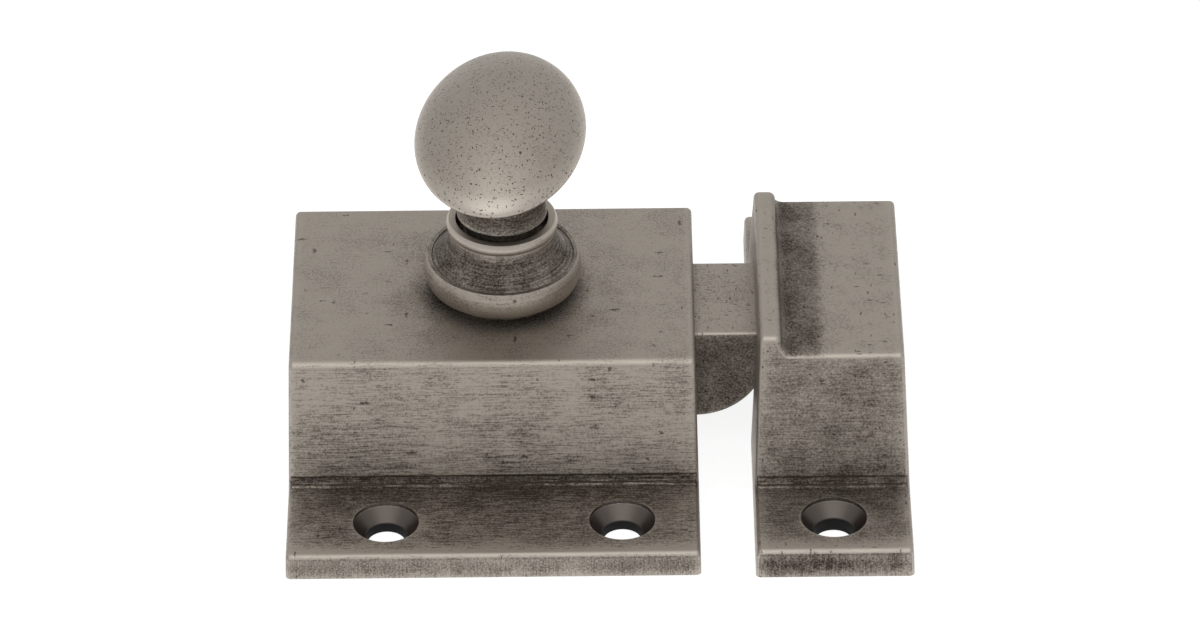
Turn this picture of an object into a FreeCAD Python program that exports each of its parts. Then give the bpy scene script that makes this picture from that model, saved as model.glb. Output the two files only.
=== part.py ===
import FreeCAD, Part
import math
import os

import Sketcher

# Cupboard catch latch: a cast case with a spring bolt that an oval knob draws, and the keeper for the bolt.
# +Z points out of the door, +X the way the bolt is thrown, and the mounting face is z = 0.
# The origin is on the knob's axis, in the middle of the case's four screw holes.

# Driving sizes, in millimetres and degrees: name, value, meaning
SIZES = [
    ("case_left", 26.7, "knob axis to the case's left edge at the mounting face"),
    ("case_right", 24.1, "knob axis to the case's right edge at the mounting face"),
    ("case_height", 18.5, "mounting face to the top plate"),
    ("plate_half_depth", 17.0, "knob axis to the top plate's front or back edge"),
    ("slope_run", 4.4, "how far the sloping wall runs out from the top plate"),
    ("flange_length", 14.8, "foot of the sloping wall to the flange's outer edge"),
    ("flange_thickness", 3.2, "screw flange of the case"),
    ("draft", 0.021, "casting draft of the outer faces, run for each millimetre of height"),
    ("plate_edge_round", 1.1, "rounding between top plate and sloping wall"),
    ("flange_edge_round", 0.8, "rounding of the flange's outer edge"),
    ("crease_fillet", 0.7, "fillet at the foot of the sloping wall"),
    ("end_edge_round", 0.65, "rounding round the end faces"),
    ("case_wall", 2.6, "walls round the hollow of the case and the keeper"),
    ("case_top_wall", 2.2, "top plate of the case"),
    ("screw_spacing", 29.0, "fixing screws, across the case"),
    ("screw_edge_distance", 7.2, "fixing screw to the flange's outer edge"),
    ("screw_bore", 4.7, "fixing screw's hole"),
    ("countersink_diameter", 8.1, "mouth of the countersink"),
    ("countersink_step", 0.45, "short straight wall above the countersink's cone"),
    ("bolt_width", 15.7, "spring bolt, across"),
    ("bolt_height", 12.5, "spring bolt's head, top to bottom"),
    ("bolt_top_clearance", 0.25, "bolt to the underside of the top plate"),
    ("bolt_side_clearance", 0.2, "bolt to the window in the case's end wall"),
    ("bolt_edge_round", 0.4, "rounding of the bolt's edges"),
    ("nose_radius", 8.8, "rounded underside of the bolt's nose"),
    ("bolt_projection", 8.5, "how far the bolt stands out of the case"),
    ("bolt_travel", 8.0, "how far the knob draws the bolt back"),
    ("knob_turn", 90.0, "turn of the knob that draws the bolt back"),
    ("web_thickness", 5.0, "bolt's web above the cam"),
    ("lug_thickness", 4.0, "bolt's lug that the cam pushes"),
    ("head_length", 18.6, "bolt's full-height head, tip to the cam's space"),
    ("ear_reach", 1.7, "stop ears beyond the bolt's sides"),
    ("ear_length", 2.8, "stop ears along the bolt"),
    ("stop_gap", 0.15, "stop ears to the end wall, and lug to the cam, at rest"),
    ("foot_gap", 0.25, "bolt's lug to the back plate"),
    ("spindle_diameter", 6.0, "spindle"),
    ("spindle_clearance", 0.05, "radial running clearance of the spindle"),
    ("slot_clearance", 0.35, "spindle and ring to the bolt's slots, each side"),
    ("square_size", 4.2, "square end of the spindle"),
    ("ring_diameter", 8.6, "retaining ring, outside"),
    ("ring_groove", 4.8, "groove for the retaining ring"),
    ("ring_thickness", 0.7, "retaining ring"),
    ("ring_gap", 0.1, "retaining ring to the top plate's underside"),
    ("ring_opening", 3.4, "mouth of the retaining ring"),
    ("cam_thickness", 4.4, "cam"),
    ("cam_gap", 0.3, "cam to the bolt's web"),
    ("hub_radius", 4.2, "cam's hub"),
    ("hub_gap", 0.35, "cam's hub to the bolt's lug"),
    ("cam_tip_angle", 10.0, "width of the cam's tip seen from the axis"),
    ("cam_washer_diameter", 7.0, "washer under the cam's screw"),
    ("cam_washer_thickness", 0.8, "washer under the cam's screw"),
    ("cam_screw_diameter", 2.5, "cam's screw"),
    ("cam_screw_length", 6.0, "cam's screw below its head"),
    ("cam_screw_head_diameter", 5.0, "cam's screw head"),
    ("cam_screw_head_height", 1.6, "cam's screw head"),
    ("pin_diameter", 3.2, "spring's guide pin"),
    ("pin_seat", 2.6, "guide pin inside the bolt's lug"),
    ("pin_reach", 5.2, "guide pin beyond the bolt's lug"),
    ("spring_axis_height", 8.6, "spring's axis above the mounting face"),
    ("spring_mean_diameter", 5.2, "spring, middle of the wire"),
    ("spring_wire", 0.7, "spring's wire"),
    ("spring_turns", 7.0, "turns of the spring"),
    ("spring_end_gap", 0.1, "spring's end turns to their seats"),
    ("post_length", 1.2, "post on the end wall that centres the spring"),
    ("collar_stem_diameter", 11.0, "collar's stem in the top plate"),
    ("collar_foot_diameter", 15.6, "collar's foot on the top plate"),
    ("collar_foot_height", 1.3, "collar's foot"),
    ("collar_band_diameter", 18.7, "collar's band at its edges"),
    ("collar_band_height", 3.4, "collar's band"),
    ("collar_band_round", 3.6, "bulge of the band"),
    ("collar_bead_width", 0.5, "flat bead on top of the band"),
    ("collar_bead_step", 0.12, "drop from the bead to the cavetto"),
    ("collar_cavetto_height", 4.1, "hollow curve between band and lip"),
    ("collar_cavetto_round", 4.6, "radius of the hollow curve"),
    ("collar_lip_diameter", 13.2, "collar's lip at its edges"),
    ("collar_lip_height", 1.5, "collar's lip"),
    ("collar_lip_round", 1.05, "bulge of the lip"),
    ("collar_cup_diameter", 11.6, "cup in the collar, round the knob's neck"),
    ("collar_cup_depth", 2.1, "cup in the collar"),
    ("thrust_washer_diameter", 8.8, "washer in the cup"),
    ("thrust_washer_thickness", 0.8, "washer in the cup"),
    ("thrust_gap", 0.1, "washer to the knob's neck"),
    ("neck_spigot_diameter", 9.2, "end of the knob's neck inside the cup"),
    ("neck_lip_diameter", 11.2, "flared lip at the foot of the neck"),
    ("neck_lip_gap", 0.85, "neck's lip above the collar's lip"),
    ("neck_diameter", 10.6, "knob's neck at its waist"),
    ("neck_height", 4.6, "neck's lip to where the head starts to spread"),
    ("knob_length", 36.4, "oval rim, long way"),
    ("knob_width", 21.0, "oval rim, short way"),
    ("knob_rim_height", 22.4, "top plate to the oval rim"),
    ("knob_dome_height", 5.2, "dome above the rim"),
    ("dome_shoulder", 0.22, "steepness of the dome at the rim, a share of its height"),
    ("dome_crown", 0.54, "flatness of the dome on top, a share of its half width"),
    ("knob_edge_round", 0.5, "rounding under the rim"),
    ("knob_rest_turn", 4.2, "how far the oval stands turned from square"),
    ("spindle_seat", 9.0, "spindle inside the knob"),
    ("back_plate_thickness", 1.2, "back plate"),
    ("back_plate_ledge", 1.2, "ledge that the back plate lies on"),
    ("back_plate_clearance", 0.1, "back plate to its recess"),
    ("boss_diameter", 5.2, "bosses for the back plate's screws"),
    ("boss_inset", 2.2, "bosses from the hollow's end walls"),
    ("boss_side_inset", 1.1, "bosses from the hollow's side walls at the top"),
    ("back_screw_diameter", 2.2, "back plate's screws"),
    ("back_screw_length", 7.0, "back plate's screws"),
    ("back_screw_head_diameter", 4.0, "back plate's screws, countersunk head"),
    ("back_screw_slot", 0.6, "slot in the back plate's screws"),
    ("keeper_gap", 6.65, "case to keeper at the mounting face"),
    ("keeper_width", 19.4, "keeper across"),
    ("keeper_floor_height", 19.1, "mounting face to the keeper's floor"),
    ("keeper_floor_wall", 2.7, "keeper's floor"),
    ("keeper_floor_half_depth", 17.0, "knob axis to the keeper floor's front or back edge"),
    ("keeper_slope_run", 6.2, "how far the keeper's sloping wall runs out from its floor"),
    ("keeper_flange_length", 13.6, "foot of the keeper's sloping wall to its flange's outer edge"),
    ("keeper_flange_thickness", 3.7, "keeper's screw flange"),
    ("keeper_draft", 0.04, "casting draft of the keeper, run for each millimetre of height"),
    ("ridge_height", 2.1, "strike ridge above the floor"),
    ("ridge_width", 3.5, "strike ridge, from the keeper's left edge"),
    ("ridge_cove", 1.2, "cove between the ridge and the floor"),
    ("ridge_edge_round", 0.8, "rounding of the ridge and the floor's edges"),
    ("mouth_clearance", 0.6, "keeper's mouth to the bolt, each side"),
    ("pattern_overrun", 5.0, "how far cutting outlines reach past the casting"),
]


class Size:
    """A driving size, or one worked out from some: its text binds the document, its number draws outlines."""

    def __init__(self, text, number):
        self.text = text
        self.number = number

    def __add__(self, other):
        return combine(self, "+", other, lambda a, b: a + b)

    def __radd__(self, other):
        return combine(other, "+", self, lambda a, b: a + b)

    def __sub__(self, other):
        return combine(self, "-", other, lambda a, b: a - b)

    def __rsub__(self, other):
        return combine(other, "-", self, lambda a, b: a - b)

    def __mul__(self, other):
        return combine(self, "*", other, lambda a, b: a * b)

    def __rmul__(self, other):
        return combine(other, "*", self, lambda a, b: a * b)

    def __truediv__(self, other):
        return combine(self, "/", other, lambda a, b: a / b)

    def __neg__(self):
        return combine(0, "-", self, lambda a, b: a - b)


def as_size(value):
    """Let plain numbers stand beside named sizes."""
    return value if isinstance(value, Size) else Size(repr(float(value)), float(value))


def combine(left, sign, right, work):
    """Join two sizes by an arithmetic sign."""
    left, right = as_size(left), as_size(right)
    return Size(f"({left.text} {sign} {right.text})", work(left.number, right.number))


class Sizes:
    """The spreadsheet of driving sizes, read as attributes."""

    def __init__(self, doc, rows):
        sheet = doc.addObject("Spreadsheet::Sheet", "sizes")
        for row, (name, value, meaning) in enumerate(rows, start=1):
            sheet.set(f"A{row}", name)
            sheet.set(f"B{row}", repr(value))
            sheet.setAlias(f"B{row}", name)
            sheet.set(f"C{row}", meaning)
        doc.recompute()
        for name, _, _ in rows:
            setattr(self, name, Size(f"sizes.{name}", float(sheet.get(name))))


ALONG_X = FreeCAD.Vector(1, 0, 0)
ALONG_Y = FreeCAD.Vector(0, 1, 0)
UPRIGHT = FreeCAD.Vector(0, 0, 1)
SAME_LENGTH = 0.01
SAME_WAY = math.cos(math.radians(8))

doc = FreeCAD.newDocument("cupboard_latch")
size = Sizes(doc, SIZES)

# Places worked out from the driving sizes
ceiling = size.case_height - size.case_top_wall
hollow_left = -(size.case_left - size.case_wall)
hollow_right = size.case_right - size.case_wall
bolt_top = ceiling - size.bolt_top_clearance
bolt_bottom = bolt_top - size.bolt_height
bolt_tip = size.case_right + size.bolt_projection
nose_start = bolt_tip - size.nose_radius
head_back = bolt_tip - size.head_length
web_bottom = bolt_top - size.web_thickness
cam_top = web_bottom - size.cam_gap
cam_bottom = cam_top - size.cam_thickness
cam_contact = size.hub_radius + size.hub_gap - size.stop_gap
lug_front = -(size.hub_radius + size.hub_gap)
lug_back = lug_front - size.lug_thickness
cup_floor = (
    size.case_height + size.collar_foot_height + size.collar_band_height - size.collar_bead_step
    + size.collar_cavetto_height + size.collar_lip_height - size.collar_cup_depth
)
collar_rim = cup_floor + size.collar_cup_depth
neck_foot = cup_floor + size.thrust_washer_thickness + size.thrust_gap
neck_lip = collar_rim + size.neck_lip_gap
knob_rim = size.case_height + size.knob_rim_height
keeper_left = size.case_right + size.keeper_gap
keeper_right = keeper_left + size.keeper_width
keeper_ceiling = size.keeper_floor_height - size.keeper_floor_wall


def vector(point):
    """A sketch point as the kernel's vector."""
    return FreeCAD.Vector(point[0].number, point[1].number, 0)


def new_body(label):
    """An empty body; its label names its file."""
    body = doc.addObject("PartDesign::Body", label)
    body.Label = label
    return body


def new_sketch(body, name, role, offset=0, shift=0):
    """A sketch on one of the body's own origin planes, moved along its normal and sideways."""
    plane = next(item for item in body.Origin.OriginFeatures if item.Role == role)
    sketch = body.newObject("Sketcher::SketchObject", name)
    sketch.AttachmentSupport = [(plane, "")]
    sketch.MapMode = "FlatFace"
    sketch.setExpression("AttachmentOffset.Base.x", as_size(shift).text)
    sketch.setExpression("AttachmentOffset.Base.z", as_size(offset).text)
    return sketch


def bind(sketch, kind, *where):
    """Add a dimension whose last item is a size, and tie it to the sheet."""
    index = sketch.addConstraint(Sketcher.Constraint(kind, *where[:-1], where[-1].number))
    sketch.setExpression(f"Constraints[{index}]", where[-1].text)


def pin_point(sketch, edge, end, point):
    """Fix a point of the sketch at its two sizes."""
    bind(sketch, "DistanceX", -1, 1, edge, end, point[0])
    bind(sketch, "DistanceY", -1, 1, edge, end, point[1])


def arc_middle(start, end, radius):
    """Middle of the short arc from start to end; a negative radius bulges to the right of the way."""
    chord = end - start
    half = chord.Length / 2
    rise = abs(radius) - math.sqrt(radius ** 2 - half ** 2)
    left = FreeCAD.Vector(-chord.y, chord.x, 0).normalize()
    return (start + end) / 2 + left * math.copysign(rise, radius)


def draw_outline(sketch, corners):
    """Draw a closed outline. A corner is (x, y), or (x, y, radius) where an arc leads on from it."""
    points = [(as_size(corner[0]), as_size(corner[1])) for corner in corners]
    bends = [as_size(corner[2]) if len(corner) > 2 else None for corner in corners]
    ends = []
    for index, point in enumerate(points):
        start = vector(point)
        end = vector(points[(index + 1) % len(points)])
        if bends[index] is None:
            edge = sketch.addGeometry(Part.LineSegment(start, end), False)
            ends.append((edge, 1, 2))
        else:
            middle = arc_middle(start, end, bends[index].number)
            edge = sketch.addGeometry(Part.Arc(start, middle, end), False)
            forward = near(sketch.getPoint(edge, 1).distanceToPoint(start), 0)
            ends.append((edge, 1, 2) if forward else (edge, 2, 1))
    for index, (edge, first, last) in enumerate(ends):
        follower, follower_first, _ = ends[(index + 1) % len(ends)]
        sketch.addConstraint(Sketcher.Constraint("Coincident", edge, last, follower, follower_first))
        pin_point(sketch, edge, first, points[index])
        if bends[index] is not None:
            radius = bends[index] if bends[index].number > 0 else -bends[index]
            bind(sketch, "Radius", edge, radius)


def draw_rectangle(sketch, low, high):
    """Draw an upright rectangle between two corners."""
    draw_outline(sketch, [low, (high[0], low[1]), high, (low[0], high[1])])


def draw_circle(sketch, centre, diameter):
    """Draw a circle."""
    centre = (as_size(centre[0]), as_size(centre[1]))
    edge = sketch.addGeometry(Part.Circle(vector(centre), UPRIGHT, diameter.number / 2), False)
    pin_point(sketch, edge, 3, centre)
    bind(sketch, "Diameter", edge, diameter)


def draw_slot(sketch, start, end, width):
    """Draw a slot with round ends along x, between the centres of its ends."""
    start, end = as_size(start), as_size(end)
    radius = width.number / 2
    up = FreeCAD.Vector(0, radius, 0)
    left = FreeCAD.Vector(start.number, 0, 0)
    right = FreeCAD.Vector(end.number, 0, 0)
    out = FreeCAD.Vector(radius, 0, 0)
    low = sketch.addGeometry(Part.LineSegment(left - up, right - up), False)
    nose = sketch.addGeometry(Part.Arc(right - up, right + out, right + up), False)
    high = sketch.addGeometry(Part.LineSegment(right + up, left + up), False)
    tail = sketch.addGeometry(Part.Arc(left + up, left - out, left - up), False)
    for first, second in ((low, nose), (nose, high), (high, tail), (tail, low)):
        sketch.addConstraint(Sketcher.Constraint("Tangent", first, 2, second, 1))
    sketch.addConstraint(Sketcher.Constraint("Equal", nose, tail))
    pin_point(sketch, nose, 3, (end, as_size(0)))
    pin_point(sketch, tail, 3, (start, as_size(0)))
    bind(sketch, "Diameter", nose, width)


def pad(body, sketch, length, both_ways=False):
    """Raise a solid from a sketch, along its normal or both ways."""
    feature = body.newObject("PartDesign::Pad", f"{sketch.Name}_pad")
    feature.Profile = sketch
    feature.SideType = "Symmetric" if both_ways else "One side"
    feature.setExpression("Length", as_size(length).text)
    doc.recompute()
    return feature


def pocket(body, sketch, length=None, along_normal=False):
    """Cut by a sketch, to a length or right through both ways, and make sure that something was cut."""
    before = body.Shape.Volume
    feature = body.newObject("PartDesign::Pocket", f"{sketch.Name}_cut")
    feature.Profile = sketch
    feature.Reversed = along_normal
    if length is None:
        feature.Type = "ThroughAll"
        feature.SideType = "Symmetric"
    else:
        feature.Type = "Length"
        feature.setExpression("Length", as_size(length).text)
    doc.recompute()
    if body.Shape.Volume >= before:
        raise RuntimeError(f"{feature.Name} cuts nothing")
    return feature


def spin(body, sketch, cut=False):
    """Turn a sketch about its own upright axis, to add or to cut."""
    before = body.Shape.Volume if cut else 0
    kind = "PartDesign::Groove" if cut else "PartDesign::Revolution"
    feature = body.newObject(kind, f"{sketch.Name}_turned")
    feature.Profile = sketch
    feature.ReferenceAxis = (sketch, ["V_Axis"])
    feature.Angle = 360
    doc.recompute()
    if cut and body.Shape.Volume >= before:
        raise RuntimeError(f"{feature.Name} cuts nothing")
    return feature


def round_edges(body, name, radius, wanted):
    """Round the edges of the body that a test picks out."""
    base = body.Tip
    names = [f"Edge{number}" for number, edge in enumerate(base.Shape.Edges, start=1) if wanted(edge)]
    if not names:
        raise RuntimeError(f"{name} finds no edge")
    feature = body.newObject("PartDesign::Fillet", name)
    feature.Base = (base, names)
    feature.setExpression("Radius", radius.text)
    doc.recompute()
    if "Invalid" in feature.State:
        raise RuntimeError(f"{name} can't be rounded")
    return feature


def near(first, second):
    """True for two lengths that agree."""
    return abs(first - second) < SAME_LENGTH


def runs_along(edge, axis):
    """True for a straight edge that runs along an axis."""
    if not isinstance(edge.Curve, Part.Line):
        return False
    return abs(edge.Curve.Direction.dot(axis)) > SAME_WAY


def edge_height(edge):
    """Height of an edge's middle."""
    return edge.CenterOfMass.z


class Hat:
    """Section of a hat-shaped casting: a top, a sloping wall and a flange, the same in front and behind."""

    def __init__(self, label, left, right, height, top_half_depth, slope_run, flange_length, flange, draft):
        self.label = label
        self.left = left
        self.right = right
        self.height = height
        self.top_half_depth = top_half_depth
        self.crease = top_half_depth + slope_run
        self.half_depth = self.crease + flange_length
        self.flange = flange
        self.draft = draft
        self.screw_row = self.half_depth - size.screw_edge_distance

    def wall_half_depth(self, level):
        """Outside of the sloping wall at a level, measured from the knob's axis."""
        run = self.crease - self.top_half_depth
        return self.top_half_depth + run * (self.height - level) / (self.height - self.flange)


def hat_block(hat, height):
    """A drafted block with a flange in front and behind and a sloping wall, carried on up to a height."""
    body = new_body(hat.label)
    front = new_sketch(body, f"{hat.label}_front", "XZ_Plane")
    lean = hat.draft * height
    draw_outline(front, [
        (hat.left, 0),
        (hat.right, 0),
        (hat.right - lean, height),
        (hat.left + lean, height),
    ])
    outside = hat.half_depth + size.pattern_overrun
    pad(body, front, 2 * outside, both_ways=True)
    top = hat.wall_half_depth(height)
    above = height + size.pattern_overrun
    beyond = outside + size.pattern_overrun
    waste = new_sketch(body, f"{hat.label}_waste", "YZ_Plane")
    for side in (-1, 1):
        draw_outline(waste, [
            (side * top, height),
            (side * hat.crease, hat.flange),
            (side * (hat.half_depth - hat.draft * hat.flange), hat.flange),
            (side * hat.half_depth, 0),
            (side * beyond, 0),
            (side * beyond, above),
            (side * top, above),
        ])
    pocket(body, waste)
    return body


def round_flanges(body, hat):
    """Fillet the foot of the sloping walls and round the flanges' outer edges."""
    crease = hat.crease.number
    mid_flange = (hat.crease.number + hat.half_depth.number) / 2

    def on_flange_top(edge):
        return runs_along(edge, ALONG_X) and near(edge_height(edge), hat.flange.number)

    round_edges(body, f"{hat.label}_crease", size.crease_fillet,
                lambda edge: on_flange_top(edge) and near(abs(edge.CenterOfMass.y), crease))
    round_edges(body, f"{hat.label}_flange_edge", size.flange_edge_round,
                lambda edge: on_flange_top(edge) and abs(edge.CenterOfMass.y) > mid_flange)


def is_end(face):
    """True for the left or right end face of a casting."""
    return abs(face.normalAt(0, 0).x) > SAME_WAY and near(face.BoundBox.ZMin, 0)


def round_ends(body, label):
    """Round the whole outline of both end faces, apart from the mounting face."""
    ends = [face for face in body.Tip.Shape.Faces if is_end(face)]
    codes = {edge.hashCode() for face in ends for edge in face.Edges if edge_height(edge) > SAME_LENGTH}
    round_edges(body, f"{label}_ends", size.end_edge_round, lambda edge: edge.hashCode() in codes)


def hollow_out(body, hat, start, end, roof, floor):
    """Cut the hollow under a hat block, with walls that follow the slopes."""
    sketch = new_sketch(body, f"{hat.label}_hollow", "YZ_Plane", offset=start)
    top = hat.wall_half_depth(roof) - size.case_wall
    bottom = hat.wall_half_depth(floor) - size.case_wall
    draw_outline(sketch, [(-bottom, floor), (bottom, floor), (top, roof), (-top, roof)])
    pocket(body, sketch, end - start, along_normal=True)


def screw_hole(body, name, x, y, flange):
    """A countersunk hole with a short straight mouth, through a flange."""
    sketch = new_sketch(body, name, "XZ_Plane", offset=-y, shift=x)
    bore = size.screw_bore / 2
    mouth = size.countersink_diameter / 2
    cone_top = flange - size.countersink_step
    above = flange + size.pattern_overrun
    draw_outline(sketch, [
        (0, -size.pattern_overrun),
        (bore, -size.pattern_overrun),
        (bore, cone_top - (mouth - bore)),
        (mouth, cone_top),
        (mouth, above),
        (0, above),
    ])
    spin(body, sketch, cut=True)


case_hat = Hat("latch_case", -size.case_left, size.case_right, size.case_height, size.plate_half_depth,
               size.slope_run, size.flange_length, size.flange_thickness, size.draft)
keeper_hat = Hat("keeper", keeper_left, keeper_right, size.keeper_floor_height, size.keeper_floor_half_depth,
                 size.keeper_slope_run, size.keeper_flange_length, size.keeper_flange_thickness,
                 size.keeper_draft)
hollow_top_half = case_hat.wall_half_depth(ceiling) - size.case_wall
hollow_bottom_half = case_hat.wall_half_depth(size.back_plate_thickness) - size.case_wall
recess_left = hollow_left - size.back_plate_ledge
recess_right = hollow_right + size.back_plate_ledge
recess_half = hollow_bottom_half + size.back_plate_ledge
boss_places = [
    (x, side * (hollow_top_half - size.boss_side_inset))
    for x in (hollow_left + size.boss_inset, hollow_right - size.boss_inset)
    for side in (-1, 1)
]


def make_case():
    """The latch case: hat-shaped casting with the hollow, window, bosses and spring post inside."""
    body = hat_block(case_hat, case_hat.height)

    def at_plate(edge):
        return runs_along(edge, ALONG_X) and near(edge_height(edge), case_hat.height.number)

    round_edges(body, "plate_edges", size.plate_edge_round, at_plate)
    round_flanges(body, case_hat)
    round_ends(body, case_hat.label)
    hollow_out(body, case_hat, hollow_left, hollow_right, ceiling, size.back_plate_thickness)
    recess = new_sketch(body, "back_recess", "XY_Plane")
    draw_rectangle(recess, (recess_left, -recess_half), (recess_right, recess_half))
    pocket(body, recess, size.back_plate_thickness, along_normal=True)
    bosses = new_sketch(body, "bosses", "XY_Plane", offset=size.back_plate_thickness)
    for place in boss_places:
        draw_circle(bosses, place, size.boss_diameter)
    pad(body, bosses, ceiling + size.case_top_wall / 2 - size.back_plate_thickness)
    pilots = new_sketch(body, "boss_pilots", "XY_Plane")
    for place in boss_places:
        draw_circle(pilots, place, size.back_screw_diameter)
    pocket(body, pilots, size.back_screw_length, along_normal=True)
    post = new_sketch(body, "spring_post", "YZ_Plane", offset=hollow_left - size.case_wall / 2)
    draw_circle(post, (0, size.spring_axis_height), size.pin_diameter)
    pad(body, post, size.case_wall / 2 + size.post_length)
    window = new_sketch(body, "bolt_window", "YZ_Plane", offset=hollow_right - size.ear_reach)
    window_half = size.bolt_width / 2 + size.bolt_side_clearance
    draw_rectangle(window, (-window_half, bolt_bottom - size.bolt_side_clearance), (window_half, ceiling))
    pocket(body, window, size.case_wall + size.pattern_overrun, along_normal=True)
    stem_hole = new_sketch(body, "collar_hole", "XY_Plane", offset=size.case_height + size.pattern_overrun)
    draw_circle(stem_hole, (0, 0), size.collar_stem_diameter)
    pocket(body, stem_hole, size.pattern_overrun + size.case_top_wall + size.bolt_top_clearance)
    for column in (-1, 1):
        for row in (-1, 1):
            name = f"case_screw_{'left' if column < 0 else 'right'}_{'front' if row < 0 else 'back'}"
            screw_hole(body, name, column * size.screw_spacing / 2, row * case_hat.screw_row, case_hat.flange)
    return body


def make_collar():
    """The collar: turned foot, band, cavetto and lip, with a stem in the top plate and a cup for the neck."""
    body = new_body("collar")
    sketch = new_sketch(body, "collar_profile", "XZ_Plane")
    bore = size.spindle_diameter / 2 + size.spindle_clearance
    stem = size.collar_stem_diameter / 2
    foot = size.collar_foot_diameter / 2
    band = size.collar_band_diameter / 2
    lip = size.collar_lip_diameter / 2
    cup = size.collar_cup_diameter / 2
    foot_top = size.case_height + size.collar_foot_height
    band_top = foot_top + size.collar_band_height
    cavetto_foot = band_top - size.collar_bead_step
    lip_foot = cavetto_foot + size.collar_cavetto_height
    draw_outline(sketch, [
        (bore, ceiling),
        (stem, ceiling),
        (stem, size.case_height),
        (foot, size.case_height),
        (foot, foot_top),
        (band, foot_top, -size.collar_band_round),
        (band, band_top),
        (band - size.collar_bead_width, band_top),
        (band - size.collar_bead_width, cavetto_foot, size.collar_cavetto_round),
        (lip, lip_foot, -size.collar_lip_round),
        (lip, collar_rim),
        (cup, collar_rim),
        (cup, cup_floor),
        (bore, cup_floor),
    ])
    spin(body, sketch)
    return body


def make_washer(label, bore, outside, bottom, thickness):
    """A flat washer on the knob's axis."""
    body = new_body(label)
    sketch = new_sketch(body, f"{label}_face", "XY_Plane", offset=bottom)
    draw_circle(sketch, (0, 0), outside)
    draw_circle(sketch, (0, 0), bore)
    pad(body, sketch, thickness)
    return body


def make_spindle():
    """The spindle: round shaft with a ring groove, a square end for the cam and a hole for its screw."""
    body = new_body("spindle")
    shaft = new_sketch(body, "shaft", "XY_Plane", offset=cam_top)
    draw_circle(shaft, (0, 0), size.spindle_diameter)
    pad(body, shaft, neck_foot + size.spindle_seat - cam_top)
    square = new_sketch(body, "square_end", "XY_Plane", offset=cam_bottom)
    half = size.square_size / 2
    draw_rectangle(square, (-half, -half), (half, half))
    pad(body, square, size.cam_thickness)
    groove = new_sketch(body, "ring_seat", "XZ_Plane")
    ring_top = ceiling - size.ring_gap
    ring_bottom = ring_top - size.ring_thickness
    draw_rectangle(groove, (size.ring_groove / 2, ring_bottom), (size.ring_diameter / 2, ring_top))
    spin(body, groove, cut=True)
    tapped = new_sketch(body, "screw_hole", "XY_Plane", offset=cam_bottom)
    draw_circle(tapped, (0, 0), size.cam_screw_diameter)
    pocket(body, tapped, size.cam_screw_length - size.cam_washer_thickness, along_normal=True)
    return body


def make_retaining_ring():
    """The open ring in the spindle's groove, under the top plate."""
    ring_bottom = ceiling - size.ring_gap - size.ring_thickness
    body = make_washer("retaining_ring", size.ring_groove, size.ring_diameter, ring_bottom,
                       size.ring_thickness)
    mouth = new_sketch(body, "ring_mouth", "XY_Plane", offset=ring_bottom)
    half = size.ring_opening / 2
    draw_rectangle(mouth, (0, -half), (size.ring_diameter, half))
    pocket(body, mouth, size.ring_thickness, along_normal=True)
    return body


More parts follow.
